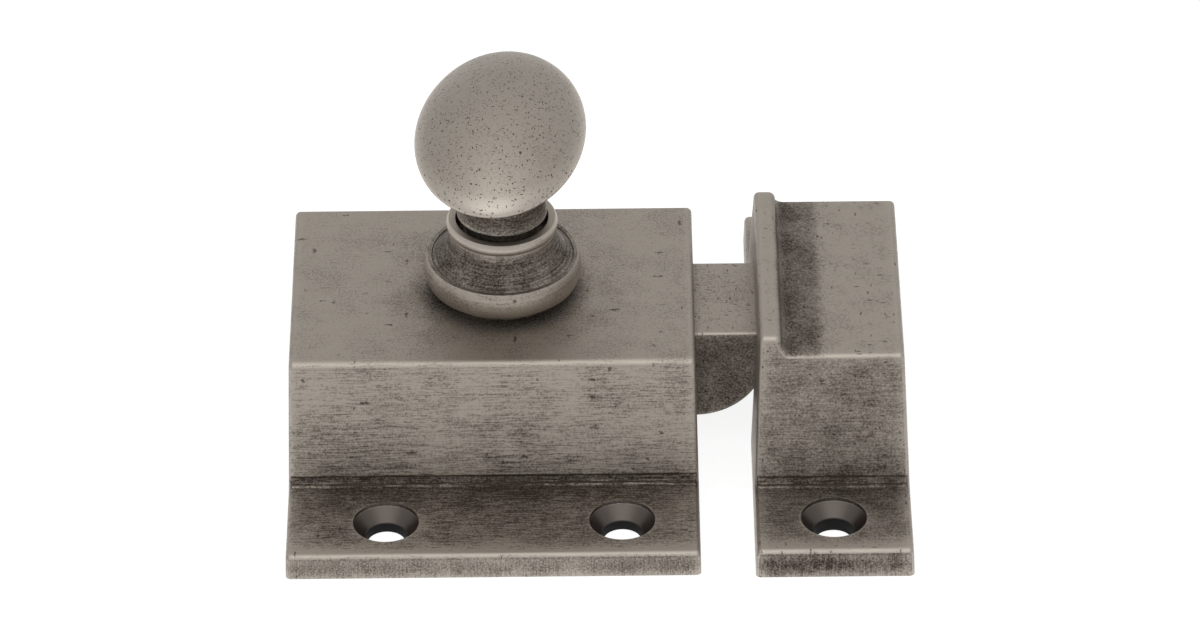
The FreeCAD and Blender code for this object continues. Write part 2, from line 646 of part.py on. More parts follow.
def make_knob():
    """The knob: oval dome over a trumpet that runs down into a round neck, bored for the spindle."""
    long_half = size.knob_length.number / 2
    short_half = size.knob_width.number / 2
    neck = size.neck_diameter.number / 2
    lip = size.neck_lip_diameter.number / 2
    edge = size.knob_edge_round.number
    rim = knob_rim.number
    underside = rim - edge
    lip_level = neck_lip.number
    spread_level = lip_level + size.neck_height.number

    def oval(half_long, half_short, level):
        """A closed oval about the axis, its seam at the end of the long way."""
        centre = FreeCAD.Vector(0, 0, level)
        if near(half_long, half_short):
            circle = Part.makeCircle(half_long, centre, UPRIGHT)
            circle.rotate(centre, UPRIGHT, 90)
            return Part.Wire(circle)
        seam = FreeCAD.Vector(0, half_long, level)
        side = FreeCAD.Vector(-half_short, 0, level)
        return Part.Wire(Part.Ellipse(seam, side, centre).toShape())

    # Trumpet: the lip draws in to the waist, then ovals spread with the cube of their height, into the dome
    waist = (lip_level + spread_level) / 2
    trumpet_top = rim + edge / 2
    trumpet = [oval(lip, lip, lip_level), oval(neck, neck, waist)]
    for share in (0.0, 0.5, 0.8, 1.0):
        level = spread_level + share * (trumpet_top - spread_level)
        spread = share ** 3
        half_long = neck + spread * (long_half - 2 * edge - neck)
        half_short = neck + spread * (short_half - 2 * edge - neck)
        trumpet.append(oval(half_long, half_short, level))

    # Dome: a full curve turned about the axis, steep only at the rim, then drawn out along the oval
    dome_height = size.knob_dome_height.number
    rim_point = FreeCAD.Vector(short_half, 0, rim)
    top_point = FreeCAD.Vector(0, 0, rim + dome_height)
    curve = Part.BezierCurve()
    curve.setPoles([
        rim_point,
        FreeCAD.Vector(short_half, 0, rim + size.dome_shoulder.number * dome_height),
        FreeCAD.Vector(size.dome_crown.number * short_half, 0, rim + dome_height),
        top_point,
    ])
    ledge = FreeCAD.Vector(short_half - edge, 0, underside)
    knuckle = FreeCAD.Vector(short_half - edge * (1 - math.sqrt(0.5)), 0, rim - edge * math.sqrt(0.5))
    foot = FreeCAD.Vector(0, 0, underside)
    profile = Part.Wire([
        Part.LineSegment(foot, ledge).toShape(),
        Part.Arc(ledge, knuckle, rim_point).toShape(),
        curve.toShape(),
        Part.LineSegment(top_point, foot).toShape(),
    ])
    dome = Part.Face(profile).revolve(FreeCAD.Vector(), UPRIGHT, 360)
    stretch = FreeCAD.Matrix()
    stretch.scale(1, long_half / short_half, 1)
    dome = dome.transformGeometry(stretch)

    spigot = Part.makeCylinder(size.neck_spigot_diameter.number / 2, lip_level - neck_foot.number,
                               FreeCAD.Vector(0, 0, neck_foot.number))
    bore = Part.makeCylinder(size.spindle_diameter.number / 2, size.spindle_seat.number,
                             FreeCAD.Vector(0, 0, neck_foot.number))
    solid = Part.makeLoft(trumpet, True, False).fuse([dome, spigot]).cut(bore)
    knob = doc.addObject("Part::Feature", "knob")
    knob.Label = "knob"
    knob.Shape = solid
    rest_turn = FreeCAD.Rotation(UPRIGHT, -size.knob_rest_turn.number)
    knob.Placement = FreeCAD.Placement(FreeCAD.Vector(), rest_turn)
    return knob


def make_cam():
    """The cam: an involute lobe, so that the flat lug moves in step with the knob's turn."""
    full_turn = math.radians(size.knob_turn.number)
    base = size.bolt_travel.number / full_turn
    start_roll = cam_contact.number / base
    end_roll = start_roll + full_turn
    hub = size.hub_radius.number

    def on_flank(roll):
        """Point of the flank that meets the lug after a turn of roll less the start roll."""
        turn = FreeCAD.Rotation(UPRIGHT, math.degrees(roll - start_roll))
        return turn.multVec(FreeCAD.Vector(-base * roll, -base, 0))

    def on_circle(radius, angle):
        """Point on a circle about the knob's axis."""
        return FreeCAD.Vector(radius * math.cos(angle), radius * math.sin(angle), 0)

    steps = 12
    flank_points = [on_flank(end_roll * step / steps) for step in range(steps + 1)]
    flank = Part.BSplineCurve()
    flank.interpolate(flank_points)
    tip = flank_points[-1]
    tip_angle = math.atan2(tip.y, tip.x)
    tip_width = math.radians(size.cam_tip_angle.number)
    tip_end = on_circle(tip.Length, tip_angle + tip_width)
    past_level = math.radians(20)
    hub_start = on_circle(hub, -past_level)
    hub_end = on_circle(hub, math.pi + past_level)
    outline = Part.Wire([
        flank.toShape(),
        Part.Arc(tip, on_circle(tip.Length, tip_angle + tip_width / 2), tip_end).toShape(),
        Part.LineSegment(tip_end, hub_start).toShape(),
        Part.Arc(hub_start, on_circle(hub, math.pi / 2), hub_end).toShape(),
        Part.LineSegment(hub_end, flank_points[0]).toShape(),
    ])
    plate = Part.Face(outline).extrude(FreeCAD.Vector(0, 0, size.cam_thickness.number))
    side = size.square_size.number
    square = Part.makeBox(side, side, size.cam_thickness.number, FreeCAD.Vector(-side / 2, -side / 2, 0))
    cam = doc.addObject("Part::Feature", "cam")
    cam.Label = "cam"
    cam.Shape = plate.cut(square)
    cam.Placement = FreeCAD.Placement(FreeCAD.Vector(0, 0, cam_bottom.number), FreeCAD.Rotation())
    return cam


def make_cam_screw():
    """The screw that holds the cam on the spindle, with a slotted head."""
    body = new_body("cam_screw")
    shank = size.cam_screw_diameter / 2
    head = size.cam_screw_head_diameter / 2
    head_top = cam_bottom - size.cam_washer_thickness
    head_bottom = head_top - size.cam_screw_head_height
    profile = new_sketch(body, "cam_screw_profile", "XZ_Plane")
    draw_outline(profile, [
        (0, head_bottom),
        (head, head_bottom),
        (head, head_top),
        (shank, head_top),
        (shank, head_top + size.cam_screw_length),
        (0, head_top + size.cam_screw_length),
    ])
    spin(body, profile)
    slot = new_sketch(body, "cam_screw_slot", "XY_Plane", offset=head_bottom)
    half = size.back_screw_slot / 2
    draw_rectangle(slot, (-size.cam_screw_head_diameter, -half), (size.cam_screw_head_diameter, half))
    pocket(body, slot, size.cam_screw_head_height / 2, along_normal=True)
    return body


def make_bolt():
    """The spring bolt: a rounded nose, a full head, a slotted web over the cam, and a lug for the cam."""
    body = new_body("latch_bolt")
    side = new_sketch(body, "bolt_side", "XZ_Plane")
    lug_foot = size.back_plate_thickness + size.foot_gap
    draw_outline(side, [
        (lug_back, lug_foot),
        (lug_front, lug_foot),
        (lug_front, web_bottom),
        (head_back, web_bottom),
        (head_back, bolt_bottom),
        (nose_start, bolt_bottom, -size.nose_radius),
        (bolt_tip, bolt_bottom + size.nose_radius),
        (bolt_tip, bolt_top),
        (lug_back, bolt_top),
    ])
    pad(body, side, size.bolt_width, both_ways=True)
    half = size.bolt_width / 2

    def on_flank_of_head(edge):
        on_side = all(near(abs(vertex.Y), half.number) for vertex in edge.Vertexes)
        ahead = edge.CenterOfMass.x > head_back.number + SAME_LENGTH
        on_top = near(edge_height(edge), bolt_top.number)
        return on_side and (ahead or on_top) and not runs_along(edge, ALONG_Y)

    round_edges(body, "bolt_edges", size.bolt_edge_round, on_flank_of_head)
    ears = new_sketch(body, "stop_ears", "XY_Plane", offset=web_bottom)
    ear_front = hollow_right - size.stop_gap
    ear_half = half + size.ear_reach
    draw_rectangle(ears, (ear_front - size.ear_length, -ear_half), (ear_front, ear_half))
    pad(body, ears, size.web_thickness - size.bolt_edge_round)
    slot = new_sketch(body, "spindle_slot", "XY_Plane", offset=bolt_top)
    draw_slot(slot, 0, size.bolt_travel, size.spindle_diameter + 2 * size.slot_clearance)
    pocket(body, slot, size.web_thickness)
    channel = new_sketch(body, "ring_channel", "XY_Plane", offset=bolt_top)
    draw_slot(channel, 0, size.bolt_travel, size.ring_diameter + 2 * size.slot_clearance)
    pocket(body, channel, size.ring_gap + size.ring_thickness + size.slot_clearance)
    seat = new_sketch(body, "pin_hole", "YZ_Plane", offset=lug_back)
    draw_circle(seat, (0, size.spring_axis_height), size.pin_diameter)
    pocket(body, seat, size.pin_seat, along_normal=True)
    return body


def make_guide_pin():
    """The pin pressed into the bolt's lug, inside the spring."""
    body = new_body("spring_guide_pin")
    sketch = new_sketch(body, "pin_end", "YZ_Plane", offset=lug_back - size.pin_reach)
    draw_circle(sketch, (0, size.spring_axis_height), size.pin_diameter)
    pad(body, sketch, size.pin_reach + size.pin_seat)
    tip = lug_back.number - size.pin_reach.number
    round_edges(body, "pin_tip", size.bolt_edge_round, lambda edge: near(edge.CenterOfMass.x, tip))
    return body


def make_spring():
    """The compression spring between the end wall and the bolt's lug."""
    wire = size.spring_wire.number
    seat_to_seat = lug_back.number - hollow_left.number
    rise = seat_to_seat - wire - 2 * size.spring_end_gap.number
    coil_radius = size.spring_mean_diameter.number / 2
    path = Part.Wire(Part.makeHelix(rise / size.spring_turns.number, rise, coil_radius).Edges)
    section = Part.Wire(Part.Circle(FreeCAD.Vector(coil_radius, 0, 0), ALONG_Y, wire / 2).toShape())
    spring = doc.addObject("Part::Feature", "bolt_spring")
    spring.Label = "bolt_spring"
    spring.Shape = path.makePipeShell([section], True, True)
    start = hollow_left.number + size.spring_end_gap.number + wire / 2
    spring.Placement = FreeCAD.Placement(
        FreeCAD.Vector(start, 0, size.spring_axis_height.number), FreeCAD.Rotation(ALONG_Y, 90))
    return spring


def make_back_plate():
    """The sheet that closes the case, countersunk for its screws."""
    body = new_body("back_plate")
    gap = size.back_plate_clearance
    sheet = new_sketch(body, "back_sheet", "XY_Plane")
    draw_rectangle(sheet, (recess_left + gap, gap - recess_half), (recess_right - gap, recess_half - gap))
    pad(body, sheet, size.back_plate_thickness)
    shank = size.back_screw_diameter / 2
    head = size.back_screw_head_diameter / 2
    for number, (x, y) in enumerate(boss_places, start=1):
        hole = new_sketch(body, f"back_plate_hole_{number}", "XZ_Plane", offset=-y, shift=x)
        draw_outline(hole, [
            (0, -size.pattern_overrun),
            (head, -size.pattern_overrun),
            (head, 0),
            (shank, head - shank),
            (shank, size.pattern_overrun),
            (0, size.pattern_overrun),
        ])
        spin(body, hole, cut=True)
    return body


def make_back_plate_screws():
    """The back plate's countersunk screws, as separate solids of one group."""
    shank = size.back_screw_diameter.number / 2
    head = size.back_screw_head_diameter.number / 2
    cone = head - shank
    slot = size.back_screw_slot.number
    screw = Part.makeCone(head, shank, cone).fuse(
        Part.makeCylinder(shank, size.back_screw_length.number - cone, FreeCAD.Vector(0, 0, cone)))
    screw = screw.cut(Part.makeBox(2 * head, slot, slot, FreeCAD.Vector(-head, -slot / 2, 0)))
    copies = []
    for x, y in boss_places:
        copy = screw.copy()
        copy.translate(FreeCAD.Vector(x.number, y.number, 0))
        copies.append(copy)
    group = doc.addObject("Part::Feature", "back_plate_screws")
    group.Label = "back_plate_screws"
    group.Shape = Part.makeCompound(copies)
    return group


def make_keeper():
    """The keeper: a hat like the case, with a strike ridge, a lowered floor and a hollow for the bolt."""
    floor_level = keeper_hat.height
    ridge_top = floor_level + size.ridge_height
    body = hat_block(keeper_hat, ridge_top)
    ridge_right = keeper_left + size.ridge_width
    outside = keeper_right + size.pattern_overrun
    above = ridge_top + size.pattern_overrun
    floor = new_sketch(body, "keeper_floor", "XZ_Plane")
    draw_outline(floor, [
        (ridge_right, floor_level + size.ridge_cove, -size.ridge_cove),
        (ridge_right + size.ridge_cove, floor_level),
        (outside, floor_level),
        (outside, above),
        (ridge_right, above),
    ])
    pocket(body, floor)
    round_flanges(body, keeper_hat)

    def on_ridge_top(edge):
        on_top = near(edge_height(edge), ridge_top.number)
        return on_top and runs_along(edge, ALONG_Y) and near(edge.CenterOfMass.x, ridge_right.number)

    round_edges(body, "ridge_edge", size.ridge_edge_round, on_ridge_top)

    mostly_forward = 0.8

    def on_slope_top(edge):
        above_floor = edge_height(edge) > floor_level.number - SAME_LENGTH
        lengthwise = near(edge.CenterOfMass.y, 0) or runs_along(edge, ALONG_Y)
        faces = body.Tip.Shape.ancestorsOfType(edge, Part.Face)
        meets_slope = any(abs(face.normalAt(0, 0).y) > mostly_forward for face in faces)
        meets_end = any(is_end(face) for face in faces)
        return above_floor and meets_slope and not lengthwise and not meets_end

    round_edges(body, "keeper_top_edges", size.ridge_edge_round, on_slope_top)
    round_ends(body, keeper_hat.label)
    hollow_out(body, keeper_hat, keeper_left + size.case_wall, keeper_right - size.case_wall, keeper_ceiling,
               as_size(0))
    mouth = new_sketch(body, "keeper_mouth", "YZ_Plane", offset=keeper_left - size.pattern_overrun)
    mouth_half = size.bolt_width / 2 + size.mouth_clearance
    draw_rectangle(mouth, (-mouth_half, 0), (mouth_half, keeper_ceiling))
    pocket(body, mouth, size.pattern_overrun + size.case_wall + size.mouth_clearance, along_normal=True)
    for row in (-1, 1):
        name = f"keeper_screw_{'front' if row < 0 else 'back'}"
        middle = (keeper_left + keeper_right) / 2
        screw_hole(body, name, middle, row * keeper_hat.screw_row, keeper_hat.flange)
    return body


parts = [
    make_case(),
    make_collar(),
    make_washer("thrust_washer", size.spindle_diameter + 4 * size.spindle_clearance,
                size.thrust_washer_diameter, cup_floor, size.thrust_washer_thickness),
    make_knob(),
    make_spindle(),
    make_retaining_ring(),
    make_cam(),
    make_washer("cam_washer", size.cam_screw_diameter, size.cam_washer_diameter,
                cam_bottom - size.cam_washer_thickness, size.cam_washer_thickness),
    make_cam_screw(),
    make_bolt(),
    make_guide_pin(),
    make_spring(),
    make_back_plate(),
    make_back_plate_screws(),
    make_keeper(),
]

doc.recompute()
failed = [item.Name for item in doc.Objects if "Invalid" in item.State or "Error" in item.State]
if failed:
    raise RuntimeError("failed objects: " + ", ".join(failed))
for part in parts:
    if part.Shape.isNull() or not part.Shape.isValid():
        raise RuntimeError(f"{part.Label} has no valid shape")

os.makedirs("parts", exist_ok=True)
for part in parts:
    part.Shape.exportStep(f"parts/{part.Label}.step")
    box = part.Shape.BoundBox
    print(f"{part.Label}: {len(part.Shape.Solids)} solid(s), {part.Shape.Volume:.1f} mm3, "
          f"x {box.XMin:.2f} to {box.XMax:.2f}, y {box.YMin:.2f} to {box.YMax:.2f}, "
          f"z {box.ZMin:.2f} to {box.ZMax:.2f}")
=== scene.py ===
"""Visual model of a cupboard catch latch in aged pewter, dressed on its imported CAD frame."""

import logging
import math
from dataclasses import dataclass, fields
from enum import Enum
from typing import ClassVar

import bpy
from mathutils import Matrix, Vector


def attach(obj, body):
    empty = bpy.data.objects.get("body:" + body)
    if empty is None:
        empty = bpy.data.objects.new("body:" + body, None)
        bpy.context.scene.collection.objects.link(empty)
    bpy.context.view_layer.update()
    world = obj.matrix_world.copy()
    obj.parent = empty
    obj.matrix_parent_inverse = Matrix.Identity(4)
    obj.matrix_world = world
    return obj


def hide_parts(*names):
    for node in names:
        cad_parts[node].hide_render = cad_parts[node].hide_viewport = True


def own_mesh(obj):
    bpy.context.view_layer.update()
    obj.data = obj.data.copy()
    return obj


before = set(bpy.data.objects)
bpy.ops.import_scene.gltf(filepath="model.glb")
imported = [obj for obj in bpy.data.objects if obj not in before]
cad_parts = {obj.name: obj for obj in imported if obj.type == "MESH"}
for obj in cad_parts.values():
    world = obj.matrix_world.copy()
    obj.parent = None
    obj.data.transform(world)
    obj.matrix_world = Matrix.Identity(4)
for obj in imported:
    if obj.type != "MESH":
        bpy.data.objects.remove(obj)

LOG = logging.getLogger("latch")
MILLIMETRES_PER_METRE = 1000.0
RELIEF_DEPTH = 0.00004

Colour = tuple[float, float, float, float]
Range = tuple[float, float]
Socket = bpy.types.NodeSocket
# Rubbed wear and painted highlight: this lighter edge colour on the knob's rim and the collar's edges stands
# for both rubbed metal and the bright highlights on them.
RUBBED_EDGE_AND_HIGHLIGHT: Colour = (0.56, 0.51, 0.45, 1.0)


class Grain(Enum):
    """The way that the brush marks run on a piece."""

    ALONG_X = "along x"
    ROUND_Z = "round z"


class Kind(Enum):
    """What a group's socket carries."""

    NUMBER = "NodeSocketFloat"
    VECTOR = "NodeSocketVector"
    COLOUR = "NodeSocketColor"


@dataclass(frozen=True)
class MixSockets:
    """Setting and socket numbers of the Mix node for one kind of value."""

    data_type: str
    first: int
    second: int
    result: int


MIX_SOCKETS = {Kind.VECTOR: MixSockets("VECTOR", 4, 5, 1), Kind.COLOUR: MixSockets("RGBA", 6, 7, 2)}


def socket_title(name: str) -> str:
    """Socket name of a field, such as Edge Reach for edge_reach."""
    return name.replace("_", " ").title()


class Graph:
    """A node tree with short ways to add and join nodes."""

    def __init__(self, tree: bpy.types.NodeTree) -> None:
        """Keep the tree.

        Args:
            tree: node tree of a material, a world or a group.
        """
        self.tree = tree

    def add(self, kind: str, **settings: object) -> bpy.types.Node:
        """Add a node.

        Args:
            kind: the node's type name.
            settings: properties set on the node.

        Returns:
            The new node.
        """
        node = self.tree.nodes.new(kind)
        for name, value in settings.items():
            setattr(node, name, value)
        return node

    def feed(self, socket: Socket, value: object) -> None:
        """Join a socket to another, or set its constant value.

        Args:
            socket: the input to feed.
            value: an output socket or a plain value.
        """
        if isinstance(value, bpy.types.NodeSocket):
            self.tree.links.new(value, socket)
        else:
            socket.default_value = value

    def math(self, operation: str, first: object, second: object = 0.0, clamp: bool = False) -> Socket:
        """Work out a number from one or two others.

        Args:
            operation: name of the arithmetic.
            first: a socket or a number.
            second: a socket or a number.
            clamp: keep the result between 0 and 1.

        Returns:
            The result's socket.
        """
        node = self.add("ShaderNodeMath", operation=operation, use_clamp=clamp)
        self.feed(node.inputs[0], first)
        self.feed(node.inputs[1], second)
        return node.outputs[0]

    def total(self, *terms: tuple[object, object]) -> Socket:
        """Add up terms, each with its own gain, and keep the sum between 0 and 1.

        Args:
            terms: pairs of a socket or number and its gain, also a socket or number.

        Returns:
            The sum's socket.
        """
        result: object = 0.0
        for index, (term, gain) in enumerate(terms):
            node = self.add("ShaderNodeMath", operation="MULTIPLY_ADD", use_clamp=index == len(terms) - 1)
            self.feed(node.inputs[0], term)
            self.feed(node.inputs[1], gain)
            self.feed(node.inputs[2], result)
            result = node.outputs[0]
        return result

    def ramp(self, value: object, low: object, high: object) -> Socket:
        """Ease a number from 0 at low to 1 at high.

        Args:
            value: a socket or a number.
            low: where the result is 0, a socket or a number.
            high: where the result is 1, a socket or a number.

        Returns:
            The eased number's socket.
        """
        node = self.add("ShaderNodeMapRange", interpolation_type="SMOOTHSTEP")
        self.feed(node.inputs["Value"], value)
        self.feed(node.inputs["From Min"], low)
        self.feed(node.inputs["From Max"], high)
        return node.outputs["Result"]

    def band(self, value: object, low: float, high: float, soft: float) -> Socket:
        """1 between two limits and 0 outside them, with soft ends.

        Args:
            value: a socket or a number.
            low: lower limit.
            high: upper limit.
            soft: width of each soft end.

        Returns:
            The mask's socket.
        """
        rise = self.ramp(value, low - soft, low + soft)
        fall = self.ramp(value, high + soft, high - soft)
        return self.math("MULTIPLY", rise, fall)

    def mix(self, factor: object, first: object, second: object, kind: Kind = Kind.COLOUR) -> Socket:
        """Mix two colours or two vectors.

        Args:
            factor: share of the second one.
            first: a socket or a value.
            second: a socket or a value.
            kind: what is mixed.

        Returns:
            The mixture's socket.
        """
        sockets = MIX_SOCKETS[kind]
        node = self.add("ShaderNodeMix", data_type=sockets.data_type)
        self.feed(node.inputs["Factor"], factor)
        self.feed(node.inputs[sockets.first], first)
        self.feed(node.inputs[sockets.second], second)
        return node.outputs[sockets.result]

    def stretch(self, place: Socket, scale: object) -> Socket:
        """Scale a position along its axes.

        Args:
            place: position socket.
            scale: three factors, or a vector socket.

        Returns:
            The scaled position's socket.
        """
        node = self.add("ShaderNodeVectorMath", operation="MULTIPLY")
        self.feed(node.inputs[0], place)
        self.feed(node.inputs[1], scale)
        return node.outputs[0]

    def split(self, place: Socket) -> tuple[Socket, Socket, Socket]:
        """Take a position or direction apart.

        Args:
            place: vector socket.

        Returns:
            Its x, y and z sockets.
        """
        node = self.add("ShaderNodeSeparateXYZ")
        self.feed(node.inputs[0], place)
        return node.outputs[0], node.outputs[1], node.outputs[2]

    def join(self, x: object, y: object, z: object) -> Socket:
        """Put a vector together.

        Args:
            x: a socket or a number.
            y: a socket or a number.
            z: a socket or a number.

        Returns:
            The vector's socket.
        """
        node = self.add("ShaderNodeCombineXYZ")
        for socket, value in zip(node.inputs, (x, y, z)):
            self.feed(socket, value)
        return node.outputs[0]

    def reach(self, first: object, second: object) -> Socket:
        """Length of a flat vector.

        Args:
            first: its first part, a socket or a number.
            second: its second part, a socket or a number.

        Returns:
            The length's socket.
        """
        squares = [self.math("MULTIPLY", part, part) for part in (first, second)]
        return self.math("SQRT", self.math("ADD", *squares))

    def noise(self, place: Socket, detail: float, roughness: float) -> Socket:
        """Smooth random number at a position.

        Args:
            place: position socket, with one unit to each swell.
            detail: number of finer layers.
            roughness: strength of the finer layers.

        Returns:
            The number's socket.
        """
        node = self.add("ShaderNodeTexNoise")
        self.feed(node.inputs["Vector"], place)
        node.inputs["Scale"].default_value = 1.0
        node.inputs["Detail"].default_value = detail
        node.inputs["Roughness"].default_value = roughness
        return node.outputs[0]

    def group(self, tree: bpy.types.NodeTree, **values: object) -> bpy.types.Node:
        """Place a shared group and feed it.

        Args:
            tree: the group.
            values: a socket or a constant for each input, by the input's name as a field.

        Returns:
            The group's node.
        """
        node = self.add("ShaderNodeGroup", node_tree=tree)
        for name, value in values.items():
            self.feed(node.inputs[socket_title(name)], value)
        return node


Inputs = dict[str, Socket]
Group = tuple[Graph, Inputs, bpy.types.Node]


@dataclass
class HatFaces:
    """Masks of a hat-shaped casting's faces, and places that they are found by."""

    level: Socket
    upright: Socket
    lengthwise: Socket
    low: Socket
    plate: Socket
    flange: Socket
    face: Socket
    slope: Socket
    inset: Socket
    over_flange: Socket


class WearGroups:
    """Shader node groups that more than one material shares."""

    # Marks that every pewter piece has
    edge_rays: ClassVar[int] = 4
    rubbed_thinness: ClassVar[Range] = (0.08, 0.55)
    sheltered_hollow: ClassVar[Range] = (0.32, 0.2)
    mark_lengths: ClassVar[Range] = (1.0, 0.3)
    mark_contrast: ClassVar[Range] = (0.34, 0.66)
    pit_squeezes: ClassVar[tuple[tuple[float, float, float], ...]] = ((0.32, 1.0, 1.0), (1.0, 0.32, 0.8))
    pit_raggedness: ClassVar[tuple[float, float, float]] = (0.8, 0.8, 0.8)
    pit_least: ClassVar[float] = 0.07
    pit_growth: ClassVar[float] = 0.17
    pit_border: ClassVar[Range] = (0.06, -0.04)
    cloud_contrast: ClassVar[Range] = (0.32, 0.68)
    streak_roughness: ClassVar[float] = 0.06
    mean_height: ClassVar[float] = 0.5
    streak_height: ClassVar[float] = 0.35
    pit_height: ClassVar[float] = -0.9
    # Where a casting's faces begin and end, by the surface's direction or in millimetres
    level_turn: ClassVar[Range] = (0.75, 0.95)
    upright_turn: ClassVar[Range] = (0.80, 0.90)
    lengthwise_turn: ClassVar[Range] = (0.8, 0.5)
    grain_turn: ClassVar[float] = 0.7
    flange_soft: ClassVar[Range] = (0.3, -0.3)
    plate_over_flange: ClassVar[float] = 1.0
    plate_under_top: ClassVar[float] = 2.0
    strip_start: ClassVar[float] = 0.5
    border_fade: ClassVar[Range] = (2.0, 0.8)
    crease_soft: ClassVar[Range] = (0.15, -0.15)
    crease_full: ClassVar[float] = 0.4
    line_foot: ClassVar[float] = -0.2
    line_soft: ClassVar[float] = 0.1
    plate_calm: ClassVar[float] = -0.8
    cone_soft: ClassVar[Range] = (0.12, -0.12)
    bore_soft: ClassVar[Range] = (0.25, 0.05)

    def __init__(self) -> None:
        """Build every group once."""
        self.edges = self._edges()
        self.streaks = self._streaks()
        self.pits = self._pits()
        self.clouds = self._clouds()
        self.pewter = self._pewter()
        self.hat = self._hat()
        self.holes = self._holes()

    @staticmethod
    def _start(name: str, inputs: dict[str, Kind], outputs: dict[str, Kind]) -> Group:
        """Begin a group.

        Args:
            name: the group's name.
            inputs: each input's name and kind.
            outputs: each output's name and kind.

        Returns:
            The group's graph, its input sockets by name, and its output node.
        """
        tree = bpy.data.node_groups.new(name, "ShaderNodeTree")
        for title, kind in inputs.items():
            tree.interface.new_socket(title, in_out="INPUT", socket_type=kind.value)
        for title, kind in outputs.items():
            tree.interface.new_socket(title, in_out="OUTPUT", socket_type=kind.value)
        graph = Graph(tree)
        entry = graph.add("NodeGroupInput")
        return graph, {title: entry.outputs[title] for title in inputs}, graph.add("NodeGroupOutput")

    def _edges(self) -> bpy.types.NodeTree:
        """Masks of rubbed outer edges and of hollows that the buffing wheel misses.

        Returns:
            The group's tree.
        """
        graph, inputs, out = self._start(
            "Edges and hollows",
            {"Edge Reach": Kind.NUMBER, "Hollow Reach": Kind.NUMBER},
            {"Edge": Kind.NUMBER, "Hollow": Kind.NUMBER},
        )
        inner = graph.add("ShaderNodeAmbientOcclusion", inside=True, only_local=True, samples=self.edge_rays)
        graph.feed(inner.inputs["Distance"], inputs["Edge Reach"])
        outer = graph.add("ShaderNodeAmbientOcclusion", inside=False, only_local=True, samples=self.edge_rays)
        graph.feed(outer.inputs["Distance"], inputs["Hollow Reach"])
        thin = graph.math("SUBTRACT", 1.0, inner.outputs["AO"])
        hollow = graph.math("SUBTRACT", 1.0, outer.outputs["AO"])
        rubbed = graph.ramp(thin, *self.rubbed_thinness)
        exposed = graph.ramp(hollow, *self.sheltered_hollow)
        graph.feed(out.inputs["Edge"], graph.math("MULTIPLY", rubbed, exposed))
        graph.feed(out.inputs["Hollow"], hollow)
        return graph.tree

    def _streaks(self) -> bpy.types.NodeTree:
        """Brush marks that run along the first axis of a position: long ones with short ones over them.

        Returns:
            The group's tree.
        """
        graph, inputs, out = self._start(
            "Brush streaks",
            {"Place": Kind.VECTOR, "Length": Kind.NUMBER, "Width": Kind.NUMBER},
            {"Streak": Kind.NUMBER},
        )
        across = graph.math("DIVIDE", 1.0, inputs["Width"])
        layers = []
        for share in self.mark_lengths:
            along = graph.math("DIVIDE", 1.0, graph.math("MULTIPLY", inputs["Length"], share))
            scaled = graph.stretch(inputs["Place"], graph.join(along, across, across))
            layers.append(graph.ramp(graph.noise(scaled, detail=3.0, roughness=0.65), *self.mark_contrast))
        graph.feed(out.inputs["Streak"], graph.total((layers[0], 0.5), (layers[1], 0.5)))
        return graph.tree

    def _pits(self) -> bpy.types.NodeTree:
        """Small dark casting pits, ragged and longer one way than the other.

        Returns:
            The group's tree.
        """
        graph, inputs, out = self._start(
            "Casting pits",
            {"Place": Kind.VECTOR, "Spacing": Kind.NUMBER, "Amount": Kind.NUMBER},
            {"Pit": Kind.NUMBER},
        )
        scale = graph.math("DIVIDE", 1.0, inputs["Spacing"])
        scaled = graph.stretch(inputs["Place"], graph.join(scale, scale, scale))
        wobble = graph.add("ShaderNodeTexNoise")
        graph.feed(wobble.inputs["Vector"], scaled)
        wobble.inputs["Scale"].default_value = 3.0
        wobble.inputs["Detail"].default_value = 2.0
        ragged = graph.add("ShaderNodeVectorMath", operation="ADD")
        graph.feed(ragged.inputs[0], scaled)
        graph.feed(ragged.inputs[1], graph.stretch(wobble.outputs["Color"], self.pit_raggedness))
        result: object = 0.0
        for lengthening in self.pit_squeezes:
            cells = graph.add("ShaderNodeTexVoronoi", feature="F1")
            graph.feed(cells.inputs["Vector"], graph.stretch(ragged.outputs[0], lengthening))
            cells.inputs["Scale"].default_value = 1.0
            chance, growth, _ = graph.split(cells.outputs["Color"])
            chosen = graph.math("LESS_THAN", chance, inputs["Amount"])
            reach = graph.total((1.0, self.pit_least), (growth, self.pit_growth))
            inside = graph.ramp(graph.math("SUBTRACT", cells.outputs["Distance"], reach), *self.pit_border)
            result = graph.math("MAXIMUM", result, graph.math("MULTIPLY", inside, chosen))
        graph.feed(out.inputs["Pit"], result)
        return graph.tree

    def _clouds(self) -> bpy.types.NodeTree:
        """Uneven patches of patina.

        Returns:
            The group's tree.
        """
        graph, inputs, out = self._start(
            "Patina clouds", {"Place": Kind.VECTOR, "Size": Kind.NUMBER}, {"Cloud": Kind.NUMBER},
        )
        scale = graph.math("DIVIDE", 1.0, inputs["Size"])
        scaled = graph.stretch(inputs["Place"], graph.join(scale, scale, scale))
        swells = graph.noise(scaled, detail=5.0, roughness=0.65)
        graph.feed(out.inputs["Cloud"], graph.ramp(swells, *self.cloud_contrast))
        return graph.tree

